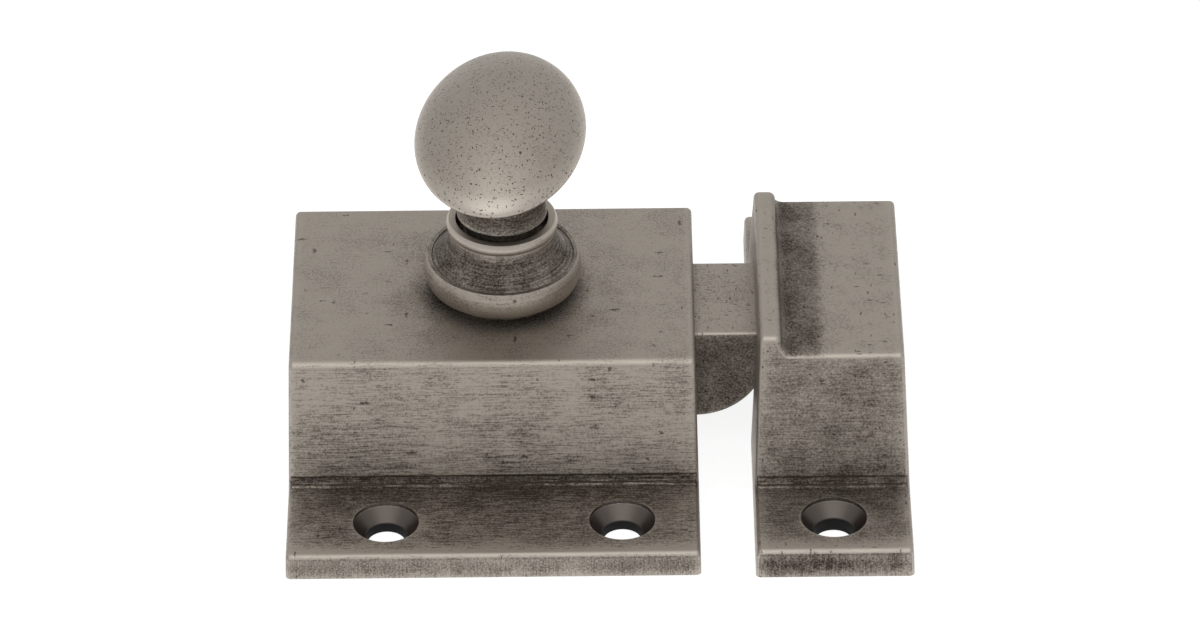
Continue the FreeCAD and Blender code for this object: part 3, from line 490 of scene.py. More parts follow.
    def _pewter(self) -> bpy.types.NodeTree:
        """Colour, roughness and relief of aged pewter, from its marks and their gains.

        Returns:
            The group's tree.
        """
        marks = ("Cloud", "Streak", "Speck", "Hollow", "Edge", "Pit")
        numbers = (*marks, *(f"{mark} Gain" for mark in marks),
                   "Base Patina", "Own Patina", "Rough Light", "Rough Dark")
        graph, inputs, out = self._start(
            "Aged pewter",
            dict.fromkeys(numbers, Kind.NUMBER)
            | dict.fromkeys(("Light", "Dark", "Edge Colour"), Kind.COLOUR),
            {"Colour": Kind.COLOUR, "Roughness": Kind.NUMBER, "Height": Kind.NUMBER},
        )
        swings = [(graph.math("SUBTRACT", inputs[mark], 0.5), inputs[f"{mark} Gain"]) for mark in marks[:3]]
        patina = graph.total(
            (1.0, inputs["Base Patina"]),
            *swings,
            (inputs["Hollow"], inputs["Hollow Gain"]),
            (inputs["Own Patina"], 1.0),
            (graph.math("MULTIPLY", inputs["Edge"], inputs["Edge Gain"]), -1.0),
        )
        # Edge colour over the rubbed edges: rubbed wear, and on the knob and the collar also painted
        # highlight.
        worn_and_highlit = graph.mix(inputs["Edge"], inputs["Light"], inputs["Edge Colour"])
        colour = graph.mix(patina, worn_and_highlit, inputs["Dark"])
        pit = graph.math("MULTIPLY", inputs["Pit"], inputs["Pit Gain"])
        graph.feed(out.inputs["Colour"], graph.mix(pit, colour, inputs["Dark"]))
        rise = graph.math("SUBTRACT", inputs["Rough Dark"], inputs["Rough Light"])
        roughness = graph.total(
            (1.0, inputs["Rough Light"]), (patina, rise), (inputs["Streak"], self.streak_roughness),
        )
        graph.feed(out.inputs["Roughness"], roughness)
        height = graph.total(
            (inputs["Streak"], self.streak_height), (inputs["Pit"], self.pit_height), (1.0, self.mean_height),
        )
        graph.feed(out.inputs["Height"], height)
        return graph.tree

    def _hat_faces(self, graph: Graph, inputs: Inputs) -> HatFaces:
        """Find a hat-shaped casting's faces by their direction and height.

        Args:
            graph: the group's graph.
            inputs: the group's inputs.

        Returns:
            The faces' masks.
        """
        _, y, z = graph.split(inputs["Place"])
        sideways, facing, up = graph.split(inputs["Normal"])
        over_flange = graph.math("SUBTRACT", z, inputs["Flange Level"])
        level = graph.ramp(up, *self.level_turn)
        upright = graph.ramp(graph.math("ABSOLUTE", facing), *self.upright_turn)
        low = graph.ramp(over_flange, *self.flange_soft)
        high = graph.ramp(z, graph.math("ADD", inputs["Flange Level"], self.plate_over_flange),
                          graph.math("SUBTRACT", inputs["Top Level"], self.plate_under_top))
        plate = graph.math("MULTIPLY", level, high)
        face = graph.math("MULTIPLY", upright, low)
        return HatFaces(
            level=level, upright=upright, low=low, plate=plate, face=face, over_flange=over_flange,
            lengthwise=graph.ramp(graph.math("ABSOLUTE", sideways), *self.lengthwise_turn),
            flange=graph.math("SUBTRACT", level, plate),
            slope=graph.math("SUBTRACT", upright, face),
            inset=graph.math("SUBTRACT", inputs["Half Depth"], graph.math("ABSOLUTE", y)),
        )

    def _face_patina(self, graph: Graph, inputs: Inputs, faces: HatFaces) -> Socket:
        """Patina of each face; flanges are dark inside their border and lighter towards their ends.

        Args:
            graph: the group's graph.
            inputs: the group's inputs.
            faces: the faces' masks.

        Returns:
            The patina's socket.
        """
        x, _, z = graph.split(inputs["Place"])
        inner = graph.ramp(faces.inset, self.strip_start, inputs["Strip Width"])
        left_end = graph.ramp(graph.math("SUBTRACT", x, inputs["Left"]), inputs["End Width"], 0.0)
        right_end = graph.ramp(graph.math("SUBTRACT", inputs["Right"], x), inputs["End Width"], 0.0)
        ends = graph.math("MULTIPLY", graph.math("ADD", left_end, right_end), inputs["End Relief"])
        flange = graph.total((inner, inputs["Flange"]), (ends, -1.0))
        foot = graph.ramp(z, inputs["Top Level"], inputs["Flange Level"])
        return graph.total(
            (faces.plate, inputs["Top"]),
            (faces.slope, inputs["Slope"]),
            (graph.math("MULTIPLY", faces.slope, foot), inputs["Slope Foot"]),
            (graph.math("MULTIPLY", faces.flange, flange), 1.0),
            (faces.face, inputs["Face"]),
            (graph.math("SUBTRACT", 1.0, faces.lengthwise), inputs["End Patina"]),
        )

    def _crease_patina(self, graph: Graph, inputs: Inputs, faces: HatFaces) -> tuple[Socket, Socket]:
        """Patina of the crease between slope and flange.

        Args:
            graph: the group's graph.
            inputs: the group's inputs.
            faces: the faces' masks.

        Returns:
            The crease's patina, and that of the line in its curve and along its top.
        """
        _, y, _ = graph.split(inputs["Place"])
        over_crease = graph.math("SUBTRACT", faces.over_flange, inputs["Crease Rise"])
        under = graph.ramp(over_crease, *self.crease_soft)
        from_crease = graph.math("SUBTRACT", graph.math("ABSOLUTE", y), inputs["Crease"])
        fade = graph.ramp(from_crease, inputs["Crease Spread"], self.crease_full)
        near = graph.math("MULTIPLY", faces.lengthwise, fade)
        crease = graph.math("MULTIPLY", under, near)
        curved = graph.math("SUBTRACT", graph.math("SUBTRACT", 1.0, faces.level), faces.upright)
        line = graph.math("MAXIMUM", graph.band(over_crease, self.line_foot, 0.0, self.line_soft),
                          graph.math("MULTIPLY", curved, under), clamp=True)
        groove = graph.math("MULTIPLY", line, near)
        return (graph.math("MULTIPLY", crease, inputs["Crease Patina"]),
                graph.math("MULTIPLY", groove, inputs["Crease Line"]))

    def _hat(self) -> bpy.types.NodeTree:
        """Patina zones and brush direction of a hat-shaped casting.

        Returns:
            The group's tree.
        """
        values = [socket_title(field.name) for field in fields(HatPatina)]
        graph, inputs, out = self._start(
            "Hat patina",
            {"Place": Kind.VECTOR, "Normal": Kind.VECTOR} | dict.fromkeys(values, Kind.NUMBER),
            dict.fromkeys(("Patina", "Plate", "Streak Share", "Upright Grain"), Kind.NUMBER),
        )
        faces = self._hat_faces(graph, inputs)
        crease, groove = self._crease_patina(graph, inputs, faces)
        border = graph.math("MULTIPLY", faces.flange, graph.ramp(faces.inset, *self.border_fade))
        relief = graph.math("MULTIPLY", border, inputs["Strip Relief"])
        patina = graph.math("MAXIMUM", self._face_patina(graph, inputs, faces), crease)
        patina = graph.math("SUBTRACT", graph.math("ADD", patina, groove), relief)
        graph.feed(out.inputs["Patina"], patina)
        graph.feed(out.inputs["Plate"], faces.plate)
        # Brush marks are faint on the plate, and stand upright on the flanges' outer faces
        spared = graph.math("MULTIPLY", faces.face, graph.math("SUBTRACT", 1.0, inputs["Face Streak"]))
        share = graph.total((1.0, 1.0), (faces.plate, self.plate_calm), (spared, -1.0))
        graph.feed(out.inputs["Streak Share"], share)
        _, facing, _ = graph.split(inputs["Normal"])
        outward = graph.math("GREATER_THAN", graph.math("ABSOLUTE", facing), self.grain_turn)
        turned = graph.math("GREATER_THAN", graph.math("MULTIPLY", outward, faces.low), 0.5)
        graph.feed(out.inputs["Upright Grain"], turned)
        return graph.tree

    def _holes(self) -> bpy.types.NodeTree:
        """Countersunk screw holes in a surface: dark patina in their cones, and painted shade, near black and
        matt, down their bores.

        Returns:
            The group's tree.
        """
        numbers = ("Roughness", "Middle", "Spread", "Row", "Cone Radius", "Cone Rough", "Bore Radius",
                   "Bore Rough")
        graph, inputs, out = self._start(
            "Screw holes",
            {"Place": Kind.VECTOR} | dict.fromkeys(numbers, Kind.NUMBER)
            | dict.fromkeys(("Colour", "Cone Colour", "Bore Colour"), Kind.COLOUR),
            {"Colour": Kind.COLOUR, "Roughness": Kind.NUMBER, "Metallic": Kind.NUMBER},
        )
        x, y, _ = graph.split(inputs["Place"])
        aside = graph.math("ABSOLUTE", graph.math("SUBTRACT", x, inputs["Middle"]))
        across = graph.math("SUBTRACT", aside, inputs["Spread"])
        along = graph.math("SUBTRACT", graph.math("ABSOLUTE", y), inputs["Row"])
        away = graph.reach(across, along)
        hole = graph.ramp(graph.math("SUBTRACT", away, inputs["Cone Radius"]), *self.cone_soft)
        # Painted shade: inside the bore radius the colour turns near black, matt and not metallic.
        bore = graph.ramp(graph.math("SUBTRACT", away, inputs["Bore Radius"]), *self.bore_soft)
        colour = graph.mix(hole, inputs["Colour"], inputs["Cone Colour"])
        graph.feed(out.inputs["Colour"], graph.mix(bore, colour, inputs["Bore Colour"]))
        roughness = inputs["Roughness"]
        for mask, goal in ((hole, inputs["Cone Rough"]), (bore, inputs["Bore Rough"])):
            change = graph.math("MULTIPLY", mask, graph.math("SUBTRACT", goal, roughness))
            roughness = graph.math("ADD", roughness, change)
        graph.feed(out.inputs["Roughness"], roughness)
        graph.feed(out.inputs["Metallic"], graph.math("SUBTRACT", 1.0, bore))
        return graph.tree


def blank_material(name: str) -> tuple[bpy.types.Material, Graph]:
    """Start a material with no nodes.

    Args:
        name: the material's name.

    Returns:
        The material and its graph.
    """
    material = bpy.data.materials.new(name)
    material.use_nodes = True
    material.node_tree.nodes.clear()
    return material, Graph(material.node_tree)


@dataclass(frozen=True)
class PewterFinish:
    """Numbers of one aged pewter surface; lengths in millimetres."""

    name: str
    light: Colour = (0.43, 0.385, 0.335, 1.0)
    dark: Colour = (0.060, 0.045, 0.035, 1.0)
    edge_colour: Colour = (0.50, 0.455, 0.40, 1.0)
    rough_light: float = 0.45
    rough_dark: float = 0.66
    grain: Grain = Grain.ALONG_X
    turning_radius: float = 8.0
    streak_length: float = 5.0
    streak_width: float = 0.16
    streak_gain: float = 0.80
    cloud_size: float = 6.0
    cloud_gain: float = 0.30
    speck_size: float = 0.26
    speck_gain: float = 0.55
    base_patina: float = 0.0
    hollow_reach: float = 12.0
    hollow_gain: float = 1.1
    edge_reach: float = 1.3
    edge_gain: float = 0.45
    pit_spacing: float = 0.9
    pit_amount: float = 0.10
    pit_gain: float = 0.75
    bump: float = 0.25

    def shares(self) -> dict[str, object]:
        """Colours, roughness and gains, by the names of the pewter group's inputs."""
        names = ("light", "dark", "edge_colour", "rough_light", "rough_dark", "base_patina", "cloud_gain",
                 "streak_gain", "speck_gain", "hollow_gain", "edge_gain", "pit_gain")
        return {name: getattr(self, name) for name in names}


@dataclass(frozen=True)
class Spot:
    """A place on a piece in millimetres and the surface's direction there, in a material's graph."""

    graph: Graph
    place: Socket
    normal: Socket


@dataclass
class OwnMarks:
    """What sets one piece's pewter apart: its patina, how far brush marks show, and where they run."""

    patina: Socket | float
    streak_share: Socket | float
    grain_place: Socket


@dataclass
class Surface:
    """What reaches a piece's shader."""

    colour: Socket
    roughness: Socket
    metallic: Socket | float = 1.0


class PewterMaterial:
    """Builds an aged pewter material; a piece with marks of its own overrides own_patina."""

    def __init__(self, finish: PewterFinish, groups: WearGroups) -> None:
        """Keep the finish and the shared groups.

        Args:
            finish: the surface's numbers.
            groups: shared node groups.
        """
        self.finish = finish
        self.groups = groups

    def own_patina(self, spot: Spot) -> Socket | float:
        """Patina that only this piece has.

        Args:
            spot: the place on the piece.

        Returns:
            A number to add to the patina.
        """
        return 0.0

    def grain_place(self, spot: Spot) -> Socket:
        """Position whose first axis runs along the brush marks.

        Args:
            spot: the place on the piece.

        Returns:
            The position's socket.
        """
        if self.finish.grain is Grain.ALONG_X:
            return spot.place
        graph = spot.graph
        x, y, z = graph.split(spot.place)
        angle = graph.math("ARCTAN2", y, x)
        return graph.join(graph.math("MULTIPLY", angle, self.finish.turning_radius), graph.reach(x, y), z)

    def own_marks(self, spot: Spot) -> OwnMarks:
        """Everything that sets this piece's pewter apart.

        Args:
            spot: the place on the piece.

        Returns:
            The piece's marks.
        """
        return OwnMarks(self.own_patina(spot), 1.0, self.grain_place(spot))

    def surface(self, spot: Spot, pewter: bpy.types.Node) -> Surface:
        """Values for the shader.

        Args:
            spot: the place on the piece.
            pewter: the placed pewter group.

        Returns:
            The values.
        """
        return Surface(pewter.outputs["Colour"], pewter.outputs["Roughness"])

    def build(self) -> bpy.types.Material:
        """Build the material.

        Returns:
            The finished material.
        """
        finish, groups = self.finish, self.groups
        material, graph = blank_material(finish.name)
        source = graph.add("ShaderNodeTexCoord")
        place = graph.stretch(source.outputs["Object"], (MILLIMETRES_PER_METRE,) * 3)
        spot = Spot(graph, place, source.outputs["Normal"])
        own = self.own_marks(spot)
        wear = graph.group(groups.edges, edge_reach=finish.edge_reach / MILLIMETRES_PER_METRE,
                           hollow_reach=finish.hollow_reach / MILLIMETRES_PER_METRE)
        marks = graph.group(groups.streaks, place=own.grain_place, length=finish.streak_length,
                            width=finish.streak_width).outputs["Streak"]
        swing = graph.math("MULTIPLY", own.streak_share, graph.math("SUBTRACT", marks, 0.5))
        cloud = graph.group(groups.clouds, place=place, size=finish.cloud_size)
        speck = graph.group(groups.clouds, place=place, size=finish.speck_size)
        pit = graph.group(groups.pits, place=place, spacing=finish.pit_spacing, amount=finish.pit_amount)
        pewter = graph.group(
            groups.pewter, cloud=cloud.outputs["Cloud"], streak=graph.math("ADD", swing, 0.5),
            speck=speck.outputs["Cloud"], pit=pit.outputs["Pit"], edge=wear.outputs["Edge"],
            hollow=wear.outputs["Hollow"], own_patina=own.patina, **finish.shares(),
        )
        values = self.surface(spot, pewter)
        bump = graph.add("ShaderNodeBump")
        bump.inputs["Strength"].default_value = finish.bump
        bump.inputs["Distance"].default_value = RELIEF_DEPTH
        graph.feed(bump.inputs["Height"], pewter.outputs["Height"])
        shader = graph.add("ShaderNodeBsdfPrincipled")
        graph.feed(shader.inputs["Base Color"], values.colour)
        graph.feed(shader.inputs["Roughness"], values.roughness)
        graph.feed(shader.inputs["Metallic"], values.metallic)
        graph.feed(shader.inputs["Normal"], bump.outputs["Normal"])
        output = graph.add("ShaderNodeOutputMaterial")
        graph.feed(output.inputs["Surface"], shader.outputs["BSDF"])
        return material


@dataclass(frozen=True)
class HatPatina:
    """Where a hat-shaped casting keeps its patina; lengths in millimetres, the rest shares of full patina."""

    top_level: float
    flange_level: float
    half_depth: float
    left: float
    right: float
    crease: float
    top: float
    slope: float
    slope_foot: float
    flange: float
    face: float
    face_streak: float
    end_width: float
    crease_patina: float = 0.48
    crease_line: float = 0.5
    crease_rise: float = 1.25
    crease_spread: float = 3.2
    strip_width: float = 4.2
    strip_relief: float = 0.35
    end_relief: float = 0.2
    end_patina: float = 0.22


@dataclass(frozen=True)
class ScrewHoles:
    """A casting's countersunk holes, in rows in front and behind; lengths in millimetres."""

    middle: float
    spread: float
    row: float
    cone_radius: float = 4.05
    cone_colour: Colour = (0.115, 0.098, 0.088, 1.0)
    cone_rough: float = 0.32
    bore_radius: float = 2.35
    # Painted shade: the bores are coloured near black, matt and not metallic, standing in for the shade down
    # the holes.
    bore_colour: Colour = (0.004, 0.004, 0.004, 1.0)
    bore_rough: float = 0.95


class HatPewter(PewterMaterial):
    """Pewter of a hat-shaped casting: dark flanges and creases, lighter borders, dark screw holes with
    painted shade in their bores.
    """

    def __init__(self, finish: PewterFinish, groups: WearGroups, hat: HatPatina, holes: ScrewHoles) -> None:
        """Keep the finish, the shared groups and the casting's places.

        Args:
            finish: the surface's numbers.
            groups: shared node groups.
            hat: where the patina lies.
            holes: where the screw holes are.
        """
        super().__init__(finish, groups)
        self.hat = hat
        self.holes = holes

    def hat_patina(self, spot: Spot, zones: bpy.types.Node) -> Socket:
        """Patina of the casting, with what only this casting has.

        Args:
            spot: the place on the piece.
            zones: the placed group of a hat-shaped casting's zones.

        Returns:
            The patina's socket.
        """
        return zones.outputs["Patina"]

    def own_marks(self, spot: Spot) -> OwnMarks:
        """Marks that follow the casting's faces.

        Args:
            spot: the place on the piece.

        Returns:
            The casting's marks.
        """
        graph = spot.graph
        zones = graph.group(self.groups.hat, place=spot.place, normal=spot.normal, **vars(self.hat))
        x, y, z = graph.split(spot.place)
        grain = graph.mix(zones.outputs["Upright Grain"], spot.place, graph.join(z, x, y), Kind.VECTOR)
        return OwnMarks(self.hat_patina(spot, zones), zones.outputs["Streak Share"], grain)

    def surface(self, spot: Spot, pewter: bpy.types.Node) -> Surface:
        """Values for the shader, with the screw holes.

        Args:
            spot: the place on the piece.
            pewter: the placed pewter group.

        Returns:
            The values.
        """
        drilled = spot.graph.group(self.groups.holes, place=spot.place, colour=pewter.outputs["Colour"],
                                   roughness=pewter.outputs["Roughness"], **vars(self.holes))
        return Surface(drilled.outputs["Colour"], drilled.outputs["Roughness"], drilled.outputs["Metallic"])


class CasePewter(HatPewter):
    """The case's pewter, with a painted shadow on the plate round the collar's foot."""

    # Painted shadow: rings (inner radius, outer radius, share) darken the plate round the collar's foot,
    # where the collar's shadow falls.
    painted_shadow_rings: ClassVar[tuple[tuple[float, float, float], ...]] = ((13.0, 17.5, 0.16), (8.6, 12.5, 0.5))

    def hat_patina(self, spot: Spot, zones: bpy.types.Node) -> Socket:
        """Patina of the casting and rings of painted shadow, each from its inner to its outer radius.

        Args:
            spot: the place on the piece.
            zones: the placed group of a hat-shaped casting's zones.

        Returns:
            The socket of the patina and the painted shadow.
        """
        graph = spot.graph
        x, y, _ = graph.split(spot.place)
        from_axis = graph.reach(x, y)
        # Painted shadow on the plate, darkest at each ring's inner radius.
        rings = [(graph.ramp(from_axis, outer, inner), share) for inner, outer, share in self.painted_shadow_rings]
        painted_shadow = graph.math("MULTIPLY", zones.outputs["Plate"], graph.total(*rings))
        return graph.math("ADD", zones.outputs["Patina"], painted_shadow)


class KeeperPewter(HatPewter):
    """The keeper's pewter, with an unbuffed strip beside the strike ridge."""

    strip_start: ClassVar[Range] = (33.9, 34.5)
    strip_end: ClassVar[Range] = (40.3, 38.3)
    strip_patina: ClassVar[float] = 0.55
    ragged_scale: ClassVar[tuple[float, float, float]] = (0.5, 0.5, 0.5)
    ragged_swing: ClassVar[float] = 4.5
    floor_turn: ClassVar[Range] = (0.6, 0.95)
    floor_height: ClassVar[Range] = (17.0, 18.0)

    def hat_patina(self, spot: Spot, zones: bpy.types.Node) -> Socket:
        """Patina of the casting and a dark strip on its floor, with a ragged outer border.

        Args:
            spot: the place on the piece.
            zones: the placed group of a hat-shaped casting's zones.

        Returns:
            The patina's socket.
        """
        graph = spot.graph
        x, _, z = graph.split(spot.place)
        _, _, up = graph.split(spot.normal)
        ragged = graph.noise(graph.stretch(spot.place, self.ragged_scale), detail=6.0, roughness=0.75)
        shift = graph.math("MULTIPLY", graph.math("SUBTRACT", ragged, 0.5), self.ragged_swing)
        fade = graph.ramp(graph.math("ADD", x, shift), *self.strip_end)
        strip = graph.math("MULTIPLY", fade, graph.ramp(x, *self.strip_start))
        floor = graph.math("MULTIPLY", graph.ramp(up, *self.floor_turn), graph.ramp(z, *self.floor_height))
        return graph.total(
            (zones.outputs["Patina"], 1.0),
            (graph.math("MULTIPLY", strip, floor), self.strip_patina),
        )


class BoltPewter(PewterMaterial):
    """The bolt's pewter: rubbed on top, dark on its sides and under its nose."""

    side_turn: ClassVar[Range] = (0.7, 0.3)
    side_patina: ClassVar[float] = 0.56

    def own_patina(self, spot: Spot) -> Socket | float:
        """Patina of every face but the top.

        Args:
            spot: the place on the piece.

        Returns:
            The patina's socket.
        """
        graph = spot.graph
        _, _, up = graph.split(spot.normal)
        return graph.math("MULTIPLY", graph.ramp(up, *self.side_turn), self.side_patina)


class KnobPewter(PewterMaterial):
    """The knob's pewter: a clean face over a dark neck."""

    neck_top: ClassVar[float] = 35.0
    face_start: ClassVar[float] = 40.0
    neck_patina: ClassVar[float] = 0.85
    neck_swing: ClassVar[float] = 0.4

    def own_patina(self, spot: Spot) -> Socket | float:
        """Patina of the neck, fading out towards the rim.

        Args:
            spot: the place on the piece.

        Returns:
            The patina's socket.
        """
        graph = spot.graph
        x, y, z = graph.split(spot.place)
        along = graph.math("MULTIPLY", graph.math("ARCTAN2", y, x), self.finish.turning_radius)
        turned = graph.join(along, 0.0, z)
        marks = graph.group(self.groups.streaks, place=turned, length=9.0, width=0.2).outputs["Streak"]
        depth = graph.total((1.0, self.neck_patina - self.neck_swing / 2), (marks, self.neck_swing))
        return graph.math("MULTIPLY", graph.ramp(z, self.face_start, self.neck_top), depth)


class CollarPewter(PewterMaterial):
    """The collar's pewter: dark in its hollow curve, rubbed on its band, its lip and in its cup."""

    hollow_foot: ClassVar[float] = 23.2
    hollow_top: ClassVar[float] = 27.0
    hollow_soft: ClassVar[float] = 0.25
    hollow_patina: ClassVar[float] = 0.50
    cup_wall: ClassVar[Range] = (6.0, 5.8)
    cup_patina: ClassVar[float] = -0.5

    def own_patina(self, spot: Spot) -> Socket | float:
        """Patina of the hollow curve, and less of it in the cup.

        Args:
            spot: the place on the piece.

        Returns:
            The patina's socket.
        """
        graph = spot.graph
        x, y, z = graph.split(spot.place)
        hollow = graph.band(z, self.hollow_foot, self.hollow_top, self.hollow_soft)
        cup = graph.ramp(graph.reach(x, y), *self.cup_wall)
        return graph.math("ADD", graph.math("MULTIPLY", hollow, self.hollow_patina),
                          graph.math("MULTIPLY", cup, self.cup_patina))


@dataclass(frozen=True)
class PlainFinish:
    """Numbers of a plain turned or drawn metal inside the case."""

    name: str
    colour: Colour
    roughness: float
    streak_length: float
    streak_width: float
    tone: float = 0.25
    streak_roughness: float = 0.1


class PlainMetal:
    """Builds a plain metal with faint tool marks."""

    def __init__(self, finish: PlainFinish, groups: WearGroups) -> None:
        """Keep the finish and the shared groups.

        Args:
            finish: the metal's numbers.
            groups: shared node groups.
        """
        self.finish = finish
        self.groups = groups

    def build(self) -> bpy.types.Material:
        """Build the material.

        Returns:
            The finished material.
        """
        finish = self.finish
        material, graph = blank_material(finish.name)
        source = graph.add("ShaderNodeTexCoord")
        place = graph.stretch(source.outputs["Object"], (MILLIMETRES_PER_METRE,) * 3)
        streak = graph.group(self.groups.streaks, place=place, length=finish.streak_length,
                             width=finish.streak_width).outputs["Streak"]
        shade = tuple(channel * (1.0 - finish.tone) for channel in finish.colour[:3]) + (1.0,)
        surface = graph.add("ShaderNodeBsdfPrincipled")
        surface.inputs["Metallic"].default_value = 1.0
        graph.feed(surface.inputs["Base Color"], graph.mix(streak, finish.colour, shade))
        roughness = graph.total((1.0, finish.roughness), (streak, finish.streak_roughness))
        graph.feed(surface.inputs["Roughness"], roughness)
        output = graph.add("ShaderNodeOutputMaterial")
        graph.feed(output.inputs["Surface"], surface.outputs["BSDF"])
        return material


def dress(node: str, material: bpy.types.Material) -> None:
    """Give a CAD node its material.

    Args:
        node: the CAD node's name.
        material: the material to show.
    """
    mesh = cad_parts[node].data
    mesh.materials.clear()
    mesh.materials.append(material)


@dataclass
class Castings:
    """The case and the keeper: the two castings that are screwed down."""

    groups: WearGroups
    case: str = "latch_case"
    case_finish: PewterFinish = PewterFinish("case pewter")
    case_patina: HatPatina = HatPatina(
        top_level=18.5, flange_level=3.2, half_depth=36.2, left=-26.7, right=24.1, crease=21.4,
        top=0.0, slope=0.11, slope_foot=0.0, flange=0.56, face=0.44, face_streak=0.4, end_width=6.0,
    )
    case_holes: ScrewHoles = ScrewHoles(middle=0.0, spread=14.5, row=29.0)
    keeper: str = "keeper"
    keeper_finish: PewterFinish = PewterFinish(
        "keeper pewter", streak_gain=0.42, cloud_size=4.0, cloud_gain=0.3, speck_gain=0.5,
        pit_spacing=0.5, pit_amount=0.28, edge_reach=1.8, edge_gain=0.6,
    )
    keeper_patina: HatPatina = HatPatina(
        top_level=19.1, flange_level=3.7, half_depth=36.8, left=30.75, right=50.15, crease=23.2,
        top=0.03, slope=0.42, slope_foot=0.02, flange=0.58, face=0.78, face_streak=0.8, end_width=3.0,
    )
    keeper_holes: ScrewHoles = ScrewHoles(middle=40.45, spread=0.0, row=29.6)

    def build(self) -> None:
        """Dress both castings."""
        case = CasePewter(self.case_finish, self.groups, self.case_patina, self.case_holes)
        dress(self.case, case.build())
        keeper = KeeperPewter(self.keeper_finish, self.groups, self.keeper_patina, self.keeper_holes)
        dress(self.keeper, keeper.build())


@dataclass
class KnobSet:
    """The knob and the collar that it turns in."""

    groups: WearGroups
    knob: str = "knob"
    # The knob's wide, light rim band is rubbed wear and painted highlight.
    knob_finish: PewterFinish = PewterFinish(
        "knob pewter", streak_gain=0.05, cloud_gain=0.14, speck_gain=0.44,
        pit_amount=0.85, pit_spacing=0.3, pit_gain=1.0,
        hollow_reach=6.0, hollow_gain=0.7, edge_reach=2.4, turning_radius=5.3,
        edge_colour=RUBBED_EDGE_AND_HIGHLIGHT,
    )
    collar: str = "collar"
    # The collar's light edges are rubbed wear and painted highlight.
    collar_finish: PewterFinish = PewterFinish(
        "collar pewter", grain=Grain.ROUND_Z, streak_length=12.0, streak_gain=0.5,
        hollow_reach=5.0, hollow_gain=1.5, base_patina=0.1, cloud_size=4.0, cloud_gain=0.4,
        edge_colour=RUBBED_EDGE_AND_HIGHLIGHT,
    )

    def build(self) -> None:
        """Dress the knob and the collar."""
        dress(self.knob, KnobPewter(self.knob_finish, self.groups).build())
        dress(self.collar, CollarPewter(self.collar_finish, self.groups).build())


@dataclass
class Mechanism:
    """The bolt and what works it inside the case."""

    groups: WearGroups
    bolt: str = "latch_bolt"
    bolt_finish: PewterFinish = PewterFinish(
        "bolt pewter", streak_gain=0.1, cloud_gain=0.25, pit_amount=0.7, pit_spacing=0.4,
        hollow_reach=4.0, edge_reach=0.8, base_patina=0.06, speck_gain=0.5,
    )
    steel_nodes: tuple[str, ...] = (
        "spindle", "cam", "cam_washer", "cam_screw", "spring_guide_pin", "back_plate_screws",
    )
    steel: PlainFinish = PlainFinish("turned steel", (0.55, 0.54, 0.52, 1.0), 0.3, 6.0, 0.3)
    spring: str = "bolt_spring"
    spring_seat: tuple[float, float, float] = (-0.0241, 0.0, 0.0086)
    spring_keep: float = 0.47
    ring: str = "retaining_ring"
    wire: PlainFinish = PlainFinish("spring steel", (0.40, 0.39, 0.38, 1.0), 0.35, 3.0, 0.2)
    washer: str = "thrust_washer"
    brass: PlainFinish = PlainFinish("washer brass", (0.60, 0.47, 0.25, 1.0), 0.35, 3.0, 0.2)
    back_plate: str = "back_plate"
    sheet: PlainFinish = PlainFinish("sheet steel", (0.45, 0.44, 0.42, 1.0), 0.42, 12.0, 0.4)

    def live_spring(self) -> bpy.types.Object:
        """Put a copy of the CAD spring in its place, hang it on the fixed set, and hide the CAD spring.

        Returns:
            The new spring.
        """
        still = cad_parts[self.spring]
        spring = bpy.data.objects.new("live_spring", still.data.copy())
        spring.matrix_world = still.matrix_world
        bpy.context.scene.collection.objects.link(spring)
        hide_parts(self.spring)
        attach(spring, "fixed_set")
        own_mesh(spring)
        return spring

    def build(self) -> None:
        """Dress the bolt and the hidden pieces."""
        dress(self.bolt, BoltPewter(self.bolt_finish, self.groups).build())
        plain = {
            self.steel: self.steel_nodes,
            self.wire: (self.ring, self.spring),
            self.brass: (self.washer,),
            self.sheet: (self.back_plate,),
        }
        for finish, nodes in plain.items():
            material = PlainMetal(finish, self.groups).build()
            for node in nodes:
                dress(node, material)
        self.live_spring()


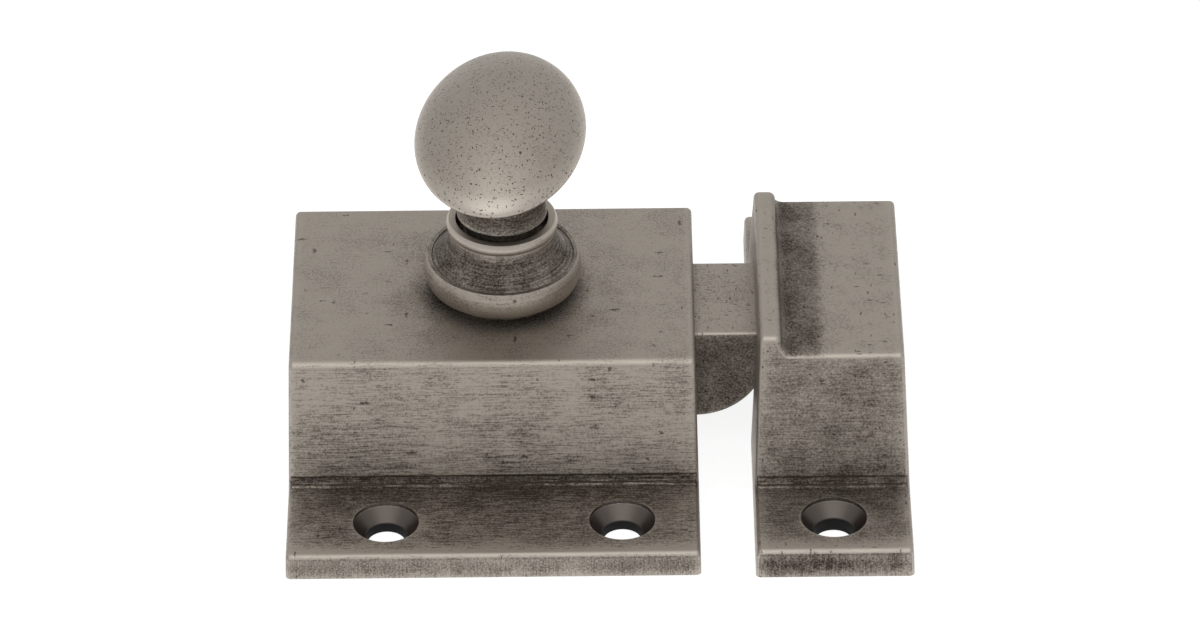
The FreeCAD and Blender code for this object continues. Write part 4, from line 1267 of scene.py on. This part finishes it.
@dataclass(frozen=True)
class Studio:
    """Camera, ground and light; lengths in metres, angles in degrees."""

    target: tuple[float, float, float] = (0.01203, 0.00518, 0.0100)
    distance: float = 0.9498
    elevation: float = 34.92
    roll: float = -0.59
    lens: float = 226.35
    sensor: float = 36.0
    clip: Range = (0.05, 20.0)
    floor_size: float = 4.0
    floor_drop: float = 0.00005
    floor_glow: float = 0.88
    floor_albedo: float = 0.25
    sky_peak: float = 1.64
    sky_low: float = 0.30
    sky_rise: float = 0.13
    sky_rise_end: float = 0.7
    box_share: float = 0.57
    box_lean: float = -0.3
    box_lift: float = 0.95
    box_border: Range = (0.74, 0.98)

    def camera(self) -> None:
        """Place the camera at the photo's viewpoint."""
        data = bpy.data.cameras.new("camera")
        data.lens = self.lens
        data.sensor_width = self.sensor
        data.clip_start, data.clip_end = self.clip
        camera = bpy.data.objects.new("camera", data)
        bpy.context.scene.collection.objects.link(camera)
        lift = math.radians(self.elevation)
        back = Vector((0.0, -math.cos(lift), math.sin(lift)))
        turn = back.to_track_quat("Z", "Y").to_matrix().to_4x4()
        camera.matrix_world = (
            Matrix.Translation(Vector(self.target) + back * self.distance)
            @ turn @ Matrix.Rotation(math.radians(self.roll), 4, "Z")
        )
        bpy.context.scene.camera = camera

    def floor(self) -> None:
        """Lay a white ground that keeps a faint shadow."""
        half = self.floor_size / 2
        mesh = bpy.data.meshes.new("floor")
        corners = [(-half, -half, 0.0), (half, -half, 0.0), (half, half, 0.0), (-half, half, 0.0)]
        mesh.from_pydata(corners, [], [(0, 1, 2, 3)])
        ground = bpy.data.objects.new("floor", mesh)
        ground.location.z = -self.floor_drop
        bpy.context.scene.collection.objects.link(ground)
        material, graph = blank_material("white ground")
        glow = graph.add("ShaderNodeEmission")
        glow.inputs["Strength"].default_value = self.floor_glow
        matt = graph.add("ShaderNodeBsdfDiffuse")
        matt.inputs["Color"].default_value = (self.floor_albedo,) * 3 + (1.0,)
        both = graph.add("ShaderNodeAddShader")
        graph.feed(both.inputs[0], glow.outputs[0])
        graph.feed(both.inputs[1], matt.outputs[0])
        output = graph.add("ShaderNodeOutputMaterial")
        graph.feed(output.inputs["Surface"], both.outputs[0])
        mesh.materials.append(material)

    def world(self) -> None:
        """Surround the latch with soft light, white to the camera."""
        world = bpy.data.worlds.new("studio")
        world.use_nodes = True
        world.node_tree.nodes.clear()
        graph = Graph(world.node_tree)
        path = graph.add("ShaderNodeLightPath")
        direction = graph.add("ShaderNodeTexCoord").outputs["Generated"]
        _, y, z = graph.split(direction)
        overhead = graph.total((y, self.box_lean), (z, self.box_lift))
        soft_box = graph.ramp(overhead, *self.box_border)
        rise = graph.ramp(z, 0.0, self.sky_rise_end)
        share = graph.total((1.0, self.sky_low), (rise, self.sky_rise), (soft_box, self.box_share))
        strength = graph.math("MULTIPLY", share, self.sky_peak)
        light = graph.add("ShaderNodeBackground")
        graph.feed(light.inputs["Strength"], strength)
        white = graph.add("ShaderNodeBackground")
        white.inputs["Strength"].default_value = 1.0
        for background in (light, white):
            background.inputs["Color"].default_value = (1.0, 1.0, 1.0, 1.0)
        chooser = graph.add("ShaderNodeMixShader")
        graph.feed(chooser.inputs[0], path.outputs["Is Camera Ray"])
        graph.feed(chooser.inputs[1], light.outputs[0])
        graph.feed(chooser.inputs[2], white.outputs[0])
        output = graph.add("ShaderNodeOutputWorld")
        graph.feed(output.inputs["Surface"], chooser.outputs[0])
        bpy.context.scene.world = world

    def build(self) -> None:
        """Set up the whole studio."""
        scene = bpy.context.scene
        scene.view_settings.view_transform = "Standard"
        self.camera()
        self.floor()
        self.world()


def main() -> None:
    """Dress the latch, set up the studio and report."""
    logging.basicConfig(level=logging.INFO, format="%(message)s")
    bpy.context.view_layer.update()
    groups = WearGroups()
    for assembly in (Castings(groups), KnobSet(groups), Mechanism(groups)):
        assembly.build()
        LOG.info("dressed %s", type(assembly).__name__)
    Studio().build()


if __name__ == "__main__":
    main()
